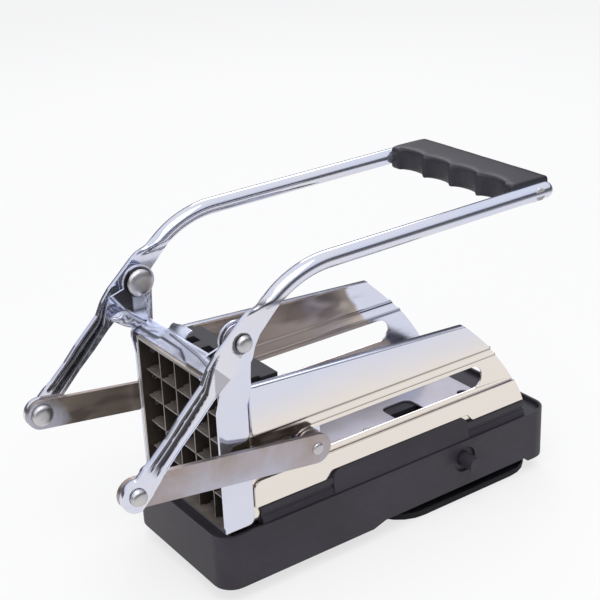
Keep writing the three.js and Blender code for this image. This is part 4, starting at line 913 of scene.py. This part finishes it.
def lock_ear(side):
    """Ear of the lock bracket as rings from the rivet's bore out to its outline, with a painted dark reflection
    ahead of the rivet.

    The outline is a disc round the pivot, joined to a brow, a notch and the end of the strip. Painted shade
    lies in a band 13 mm below the pivot, on the dents behind the rivet and in a ring round the bore.
    """
    low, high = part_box("lock_bracket")
    corners = np.array([[2.3, 18.8], [8.2, 10.6], [20.4, 1.6], [19.8, 3.4], [22.4, 14.0]]) * MM
    corners = corners + [low[0], low[2]] - PIVOT
    turn = np.linspace(0, 2 * np.pi, 180, endpoint=False)
    rays = np.stack([np.cos(turn), np.sin(turn)], axis=1)
    reach = np.full(len(turn), 7.8 * MM)
    for start, end in zip(corners[:-1], corners[1:]):
        edge = end - start
        across = rays[:, 0] * edge[1] - rays[:, 1] * edge[0]
        with np.errstate(divide="ignore", invalid="ignore"):
            distance = (start[0] * edge[1] - start[1] * edge[0]) / across
            part = (start[0] * rays[:, 1] - start[1] * rays[:, 0]) / across
        hit = (distance > 0) & (part >= 0) & (part <= 1)
        reach = np.where(hit, np.maximum(reach, distance), reach)
    bore = 2.8 * MM
    ring = np.linspace(0.0, 1.0, 26)[:, None]
    radius = bore + (reach[None, :] - bore) * ring
    x, z = PIVOT[0] + radius * rays[:, 0], PIVOT[1] + radius * rays[:, 1]
    rear, up = (x - PIVOT[0]) / MM, (z - PIVOT[1]) / MM
    behind = soft_step(rear, 0.5, 3.0) * soft_step(-up, 3.0, 6.0)
    below = soft_step(-up, 11.5, 12.5)
    crumple = np.sin(x * 2300.0 + np.sin(z * 900.0)) * np.cos(z * 1500.0 + x * 700.0)
    y = side * (high[1] - (0.05 + 0.225 * (1.0 + crumple) * behind + 0.6 * below) * MM)
    # Painted dark reflection ahead of the rivet.
    ahead = 0.97 * soft_step(-rear, 3.0, 4.2) * (1.0 - soft_step(ring, 0.9, 0.97))
    # Painted shade in a band 13 mm below the pivot.
    lens = 0.75 * bell(up, -13.0, 1.3) * (rear < 2.5) * (rear > -3.5)
    # Painted shade in a ring round the bore.
    bore_ring_shade = 0.85 * (1.0 - soft_step(radius / MM, 6.9, 7.3))
    # Painted shade on the dents behind the rivet.
    shade = np.maximum.reduce([ahead, lens, 0.7 * behind * (crumple > 0.35), bore_ring_shade])
    return stacked(x, y, z, shade)


def lock_roll(side):
    """Rolled flange under an ear: from its upper to its lower edge the skin bows inwards as sin(pi v)."""
    low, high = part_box("lock_bracket")
    upper = spline(np.array([[0.0, 9.2], [8.0, 11.0], [13.3, 6.6], [20.0, 1.0]]) * MM, 70)
    lower = spline(np.array([[0.0, 8.9], [3.3, 6.2], [9.8, 2.0], [18.8, 0.0]]) * MM, 70)
    v = np.linspace(0.0, 1.0, 24)[None, :]
    along = np.linspace(0.0, 1.0, 70)[:, None]
    x, z = (upper[:, k, None] * (1.0 - v) + lower[:, k, None] * v + low[2 * k] for k in (0, 1))
    bow = np.sin(np.pi * v) * np.sin(np.pi * np.clip(along * 0.92 + 0.06, 0, 1)) ** 0.6
    dents = 0.5 * np.sin(along * 21.0 + 5.0 * v) * np.sin(np.pi * along) * v
    y = side * (high[1] - (0.4 + (3.2 + dents) * bow) * MM)
    # Painted dark reflections in streaks along the roll.
    reflection_streak = np.abs(np.sin(along * 12.0 + 9.0 * v + 1.5 * np.sin(along * 23.0))) ** 3
    # Painted shade along both edges of the roll.
    rim = np.maximum(1.0 - soft_step(v, 0.02, 0.1), soft_step(v, 0.9, 0.98))
    shade = np.maximum(0.85 * reflection_streak * soft_step(v, 0.15, 0.35), 0.8 * rim * (along > 0.04))
    return stacked(x, y, z, shade)


def lock_tab():
    """Tab of the lock bracket: it leans back from the strip's rear edge and curls over at its top."""
    low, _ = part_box("lock_bracket")
    start, width = 9.0, 13.0
    along = np.linspace(0.0, 1.0, 30)[:, None]
    v = np.linspace(0.0, 1.0, 30)[None, :]
    y = start + width * along
    x = low[0] + (19.6 + 3.2 * v + 1.2 * v**3 + 0.9 * np.cos(np.pi * along) * v) * MM
    z = low[2] + (2.6 + 4.9 * v - 1.2 * v**4 + 0.7 * np.sin(np.pi * along) ** 2 * v) * MM
    # Painted shade on the curled top, towards the far end.
    shade = 0.8 * soft_step(y + 2.5 * v, 14.0, 20.0) * soft_step(v, 0.1, 0.4)
    return stacked(x, y * MM, z, shade)


class CUTTER_OT_lock(bpy.types.Operator):
    """Form the lock bracket: ribbed strip, two ears, their rolled flanges and the curled tab."""

    bl_idname = "cutter.lock"
    bl_label = "Lock bracket"

    def execute(self, context):
        sizes = context.scene.cutter_sizes
        for name, grid, closed, way, axis in (
            ("lock_strip", lock_strip(sizes), False, 1.0, 2),
            ("lock_tab", lock_tab(), False, -1.0, 0),
            *((f"lock_ear_{word}", lock_ear(side), True, -side, 1) for word, side in SIDES),
            *((f"lock_roll_{word}", lock_roll(side), False, -side, 1) for word, side in SIDES),
        ):
            skin, edge = grid_mesh(grid, closed), sizes.edge_round * 0.8
            put_sheet(name, "lock_bracket", skin, way, axis, sizes.sheet, edge, smooth=50.0)
        return {"FINISHED"}


class CUTTER_OT_sheet_parts(bpy.types.Operator):
    """Round the cut edges of the plates, skirts, floor, links, washers, carriage, frame and blades."""

    bl_idname = "cutter.sheet_parts"
    bl_label = "Sheet parts"

    def execute(self, context):
        edge = context.scene.cutter_sizes.edge_round
        pairs = ("side_skirt", "pivot_plate", "link", "pivot_washer", "slide_bush")
        names = [f"{name}_{word}" for name in pairs for word, _ in SIDES]
        for node in [*names, "trough_floor", "pusher_carriage", "pusher_pin"]:
            dressed(node, edge)
        dressed("blade_frame", edge * 0.8)
        for node in NODES:
            if node.startswith(("blade_upright", "blade_level")):
                dressed(node, edge, segments=1)
        return {"FINISHED"}


class CUTTER_OT_moulded(bpy.types.Operator):
    """Round the moulded edges of the base, rails, pusher, shaft, lever, pad and feet."""

    bl_idname = "cutter.moulded"
    bl_label = "Moulded parts"

    def execute(self, context):
        sizes = context.scene.cutter_sizes
        dressed("base_housing", sizes.mould_round, segments=3)
        dressed("base_rail_near", sizes.edge_round)
        dressed("base_rail_far", sizes.edge_round)
        dressed("pusher_block", sizes.edge_round * 1.4)
        for node in ("suction_shaft", "suction_lever", "suction_pad", "front_foot_near", "front_foot_far"):
            dressed(node, sizes.mould_round, segments=3)
        return {"FINISHED"}


# Studio


class CUTTER_OT_studio(bpy.types.Operator):
    """Set the photo camera, the pale floor, the soft lamps and the surroundings."""

    bl_idname = "cutter.studio"
    bl_label = "Studio"

    def execute(self, context):
        studio = context.scene.cutter_studio
        self.camera(context, studio)
        self.floor(context, studio)
        self.lamps(context, studio)
        self.surroundings(context, studio)
        context.scene.view_settings.view_transform = "Standard"
        return {"FINISHED"}

    def camera(self, context, studio):
        """Camera of the photo: turned, raised and rolled, with its axis a little off the middle."""
        azimuth, height, roll = (math.radians(value) for value in (-34.537, 22.866, -2.475))
        reach = math.cos(height)
        back = Vector((math.sin(azimuth) * reach, -math.cos(azimuth) * reach, math.sin(height)))
        level = Vector((math.cos(azimuth), math.sin(azimuth), 0.0))
        top = back.cross(level)
        right = level * math.cos(roll) + top * math.sin(roll)
        up = top * math.cos(roll) - level * math.sin(roll)
        turn = Matrix((right, up, back)).transposed().to_4x4()
        turn.translation = Vector((-0.29712, -0.4311, 0.3323))
        data = bpy.data.cameras.new("photo_camera")
        data.sensor_width = 36.0
        data.lens = studio.lens / MM
        data.shift_x = -0.00247
        data.shift_y = -0.00088
        camera = bpy.data.objects.new("photo_camera", data)
        context.collection.objects.link(camera)
        camera.matrix_world = turn
        context.scene.camera = camera

    def floor(self, context, studio):
        """Level floor that is white to the camera, keeps a soft shadow and is warm in polished metal."""
        reach = 3.0
        mesh = bpy.data.meshes.new("floor")
        corners = ((-reach, -reach, 0.0), (reach, -reach, 0.0), (reach, reach, 0.0), (-reach, reach, 0.0))
        mesh.from_pydata(corners, [], [(0, 1, 2, 3)])
        floor = bpy.data.objects.new("floor", mesh)
        context.collection.objects.link(floor)
        material = bpy.data.materials.new("studio_floor")
        material.use_nodes = True
        tree = material.node_tree
        shader = tree.nodes["Principled BSDF"]
        feed(shader, {"Base Color": opaque(studio.floor), "Roughness": 0.9, "Specular IOR Level": 0.0})
        place = output_of(tree, "NewGeometry", "Position")
        distance = output_of(tree, "VectorMath", "Value", {0: place}, operation="LENGTH")
        far = ramp(distance, studio.near_floor, studio.far_floor)
        tone = mix_colours(far, opaque(studio.sheen), opaque(studio.gloom))
        mirrored = output_of(tree, "Emission", 0, {"Color": tone})
        white = output_of(tree, "Emission", 0)
        to_camera = output_of(tree, "LightPath", "Is Camera Ray") * (1.0 - studio.shadow)
        to_metal = output_of(tree, "LightPath", "Is Glossy Ray") * 0.85
        seen = mix_shaders(to_camera, Signal(shader.outputs[0]), white)
        feed(tree.nodes["Material Output"], {"Surface": mix_shaders(to_metal, seen, mirrored)})
        mesh.materials.append(material)

    def lamps(self, context, studio):
        """Soft square lamps: key over the near side, fill behind the camera, rim from the far side."""
        for name, power, size, place in (
            ("key_lamp", studio.key_power, 0.7, (-0.15, -0.45, 0.95)),
            ("fill_lamp", studio.fill_power, 0.9, (-0.9, -0.5, 0.5)),
            ("rim_lamp", studio.fill_power * 1.1, 0.5, (0.5, 0.8, 0.8)),
        ):
            data = bpy.data.lights.new(name, "AREA")
            data.energy = power
            data.size = size
            lamp = bpy.data.objects.new(name, data)
            context.collection.objects.link(lamp)
            lamp.location = place
            aim = Vector((0.0, 0.0, 0.06)) - lamp.location
            lamp.rotation_euler = aim.to_track_quat("-Z", "Y").to_euler()

    def surroundings(self, context, studio):
        """World: white to the camera, elsewhere bands from a warm horizon through grey to a cool top."""
        world = bpy.data.worlds.new("studio_world")
        context.scene.world = world
        world.use_nodes = True
        tree = world.node_tree
        stops = (
            (0.0, (0.5, 0.48, 0.47)),
            (0.46, (0.3, 0.28, 0.28)),
            (0.49, (0.05, 0.045, 0.05)),
            (0.65, (0.05, 0.045, 0.05)),
            (0.7, (0.7, 0.72, 0.82)),
            (0.8, (0.92, 0.94, 1.0)),
            (1.0, (1.0, 1.0, 1.0)),
        )
        height = parts_of(output_of(tree, "TexCoord", "Generated"))[2]
        bands = add_node(tree, "ValToRGB", {0: ramp(height, -1.0, 1.0)})
        bands.color_ramp.interpolation = "EASE"
        while len(bands.color_ramp.elements) < len(stops):
            bands.color_ramp.elements.new(0.5)
        for element, (position, value) in zip(bands.color_ramp.elements, stops):
            element.position = position
            element.color = opaque(value)
        ground = tree.nodes["Background"]
        feed(ground, {"Color": Signal(bands.outputs[0]), "Strength": 0.85})
        white = output_of(tree, "Background", 0, {"Color": (1.0, 1.0, 1.0, 1.0)})
        to_camera = output_of(tree, "LightPath", "Is Camera Ray")
        feed(tree.nodes["World Output"], {"Surface": mix_shaders(to_camera, Signal(ground.outputs[0]), white)})


# Panel and registration

OPERATORS = (
    CUTTER_OT_finishes,
    CUTTER_OT_studio,
    CUTTER_OT_arms,
    CUTTER_OT_grip,
    CUTTER_OT_rivets,
    CUTTER_OT_trough,
    CUTTER_OT_lock,
    CUTTER_OT_sheet_parts,
    CUTTER_OT_moulded,
)
GROUPS = (
    ("cutter_sizes", CutterSizes),
    ("cutter_colours", CutterColours),
    ("cutter_studio", CutterStudio),
)


class CUTTER_PT_panel(bpy.types.Panel):
    """Sizes, colours and building steps of the fry cutter."""

    bl_idname = "CUTTER_PT_panel"
    bl_label = "Fry Cutter"
    bl_space_type = "VIEW_3D"
    bl_region_type = "UI"
    bl_category = "Fry Cutter"

    def draw(self, context):
        for attribute, group in GROUPS:
            box = self.layout.box()
            for field in group.__annotations__:
                box.prop(getattr(context.scene, attribute), field)
        for operator in OPERATORS:
            self.layout.operator(operator.bl_idname)


def register():
    for attribute, group in GROUPS:
        bpy.utils.register_class(group)
        setattr(bpy.types.Scene, attribute, bpy.props.PointerProperty(type=group))
    for item in (*OPERATORS, CUTTER_PT_panel):
        bpy.utils.register_class(item)


def unregister():
    for item in (CUTTER_PT_panel, *reversed(OPERATORS)):
        bpy.utils.unregister_class(item)
    for attribute, group in reversed(GROUPS):
        delattr(bpy.types.Scene, attribute)
        bpy.utils.unregister_class(group)


def main():
    """Builds every piece in order."""
    register()
    for operator in OPERATORS:
        family, action = operator.bl_idname.split(".")
        getattr(getattr(bpy.ops, family), action)()


if __name__ == "__main__":
    main()
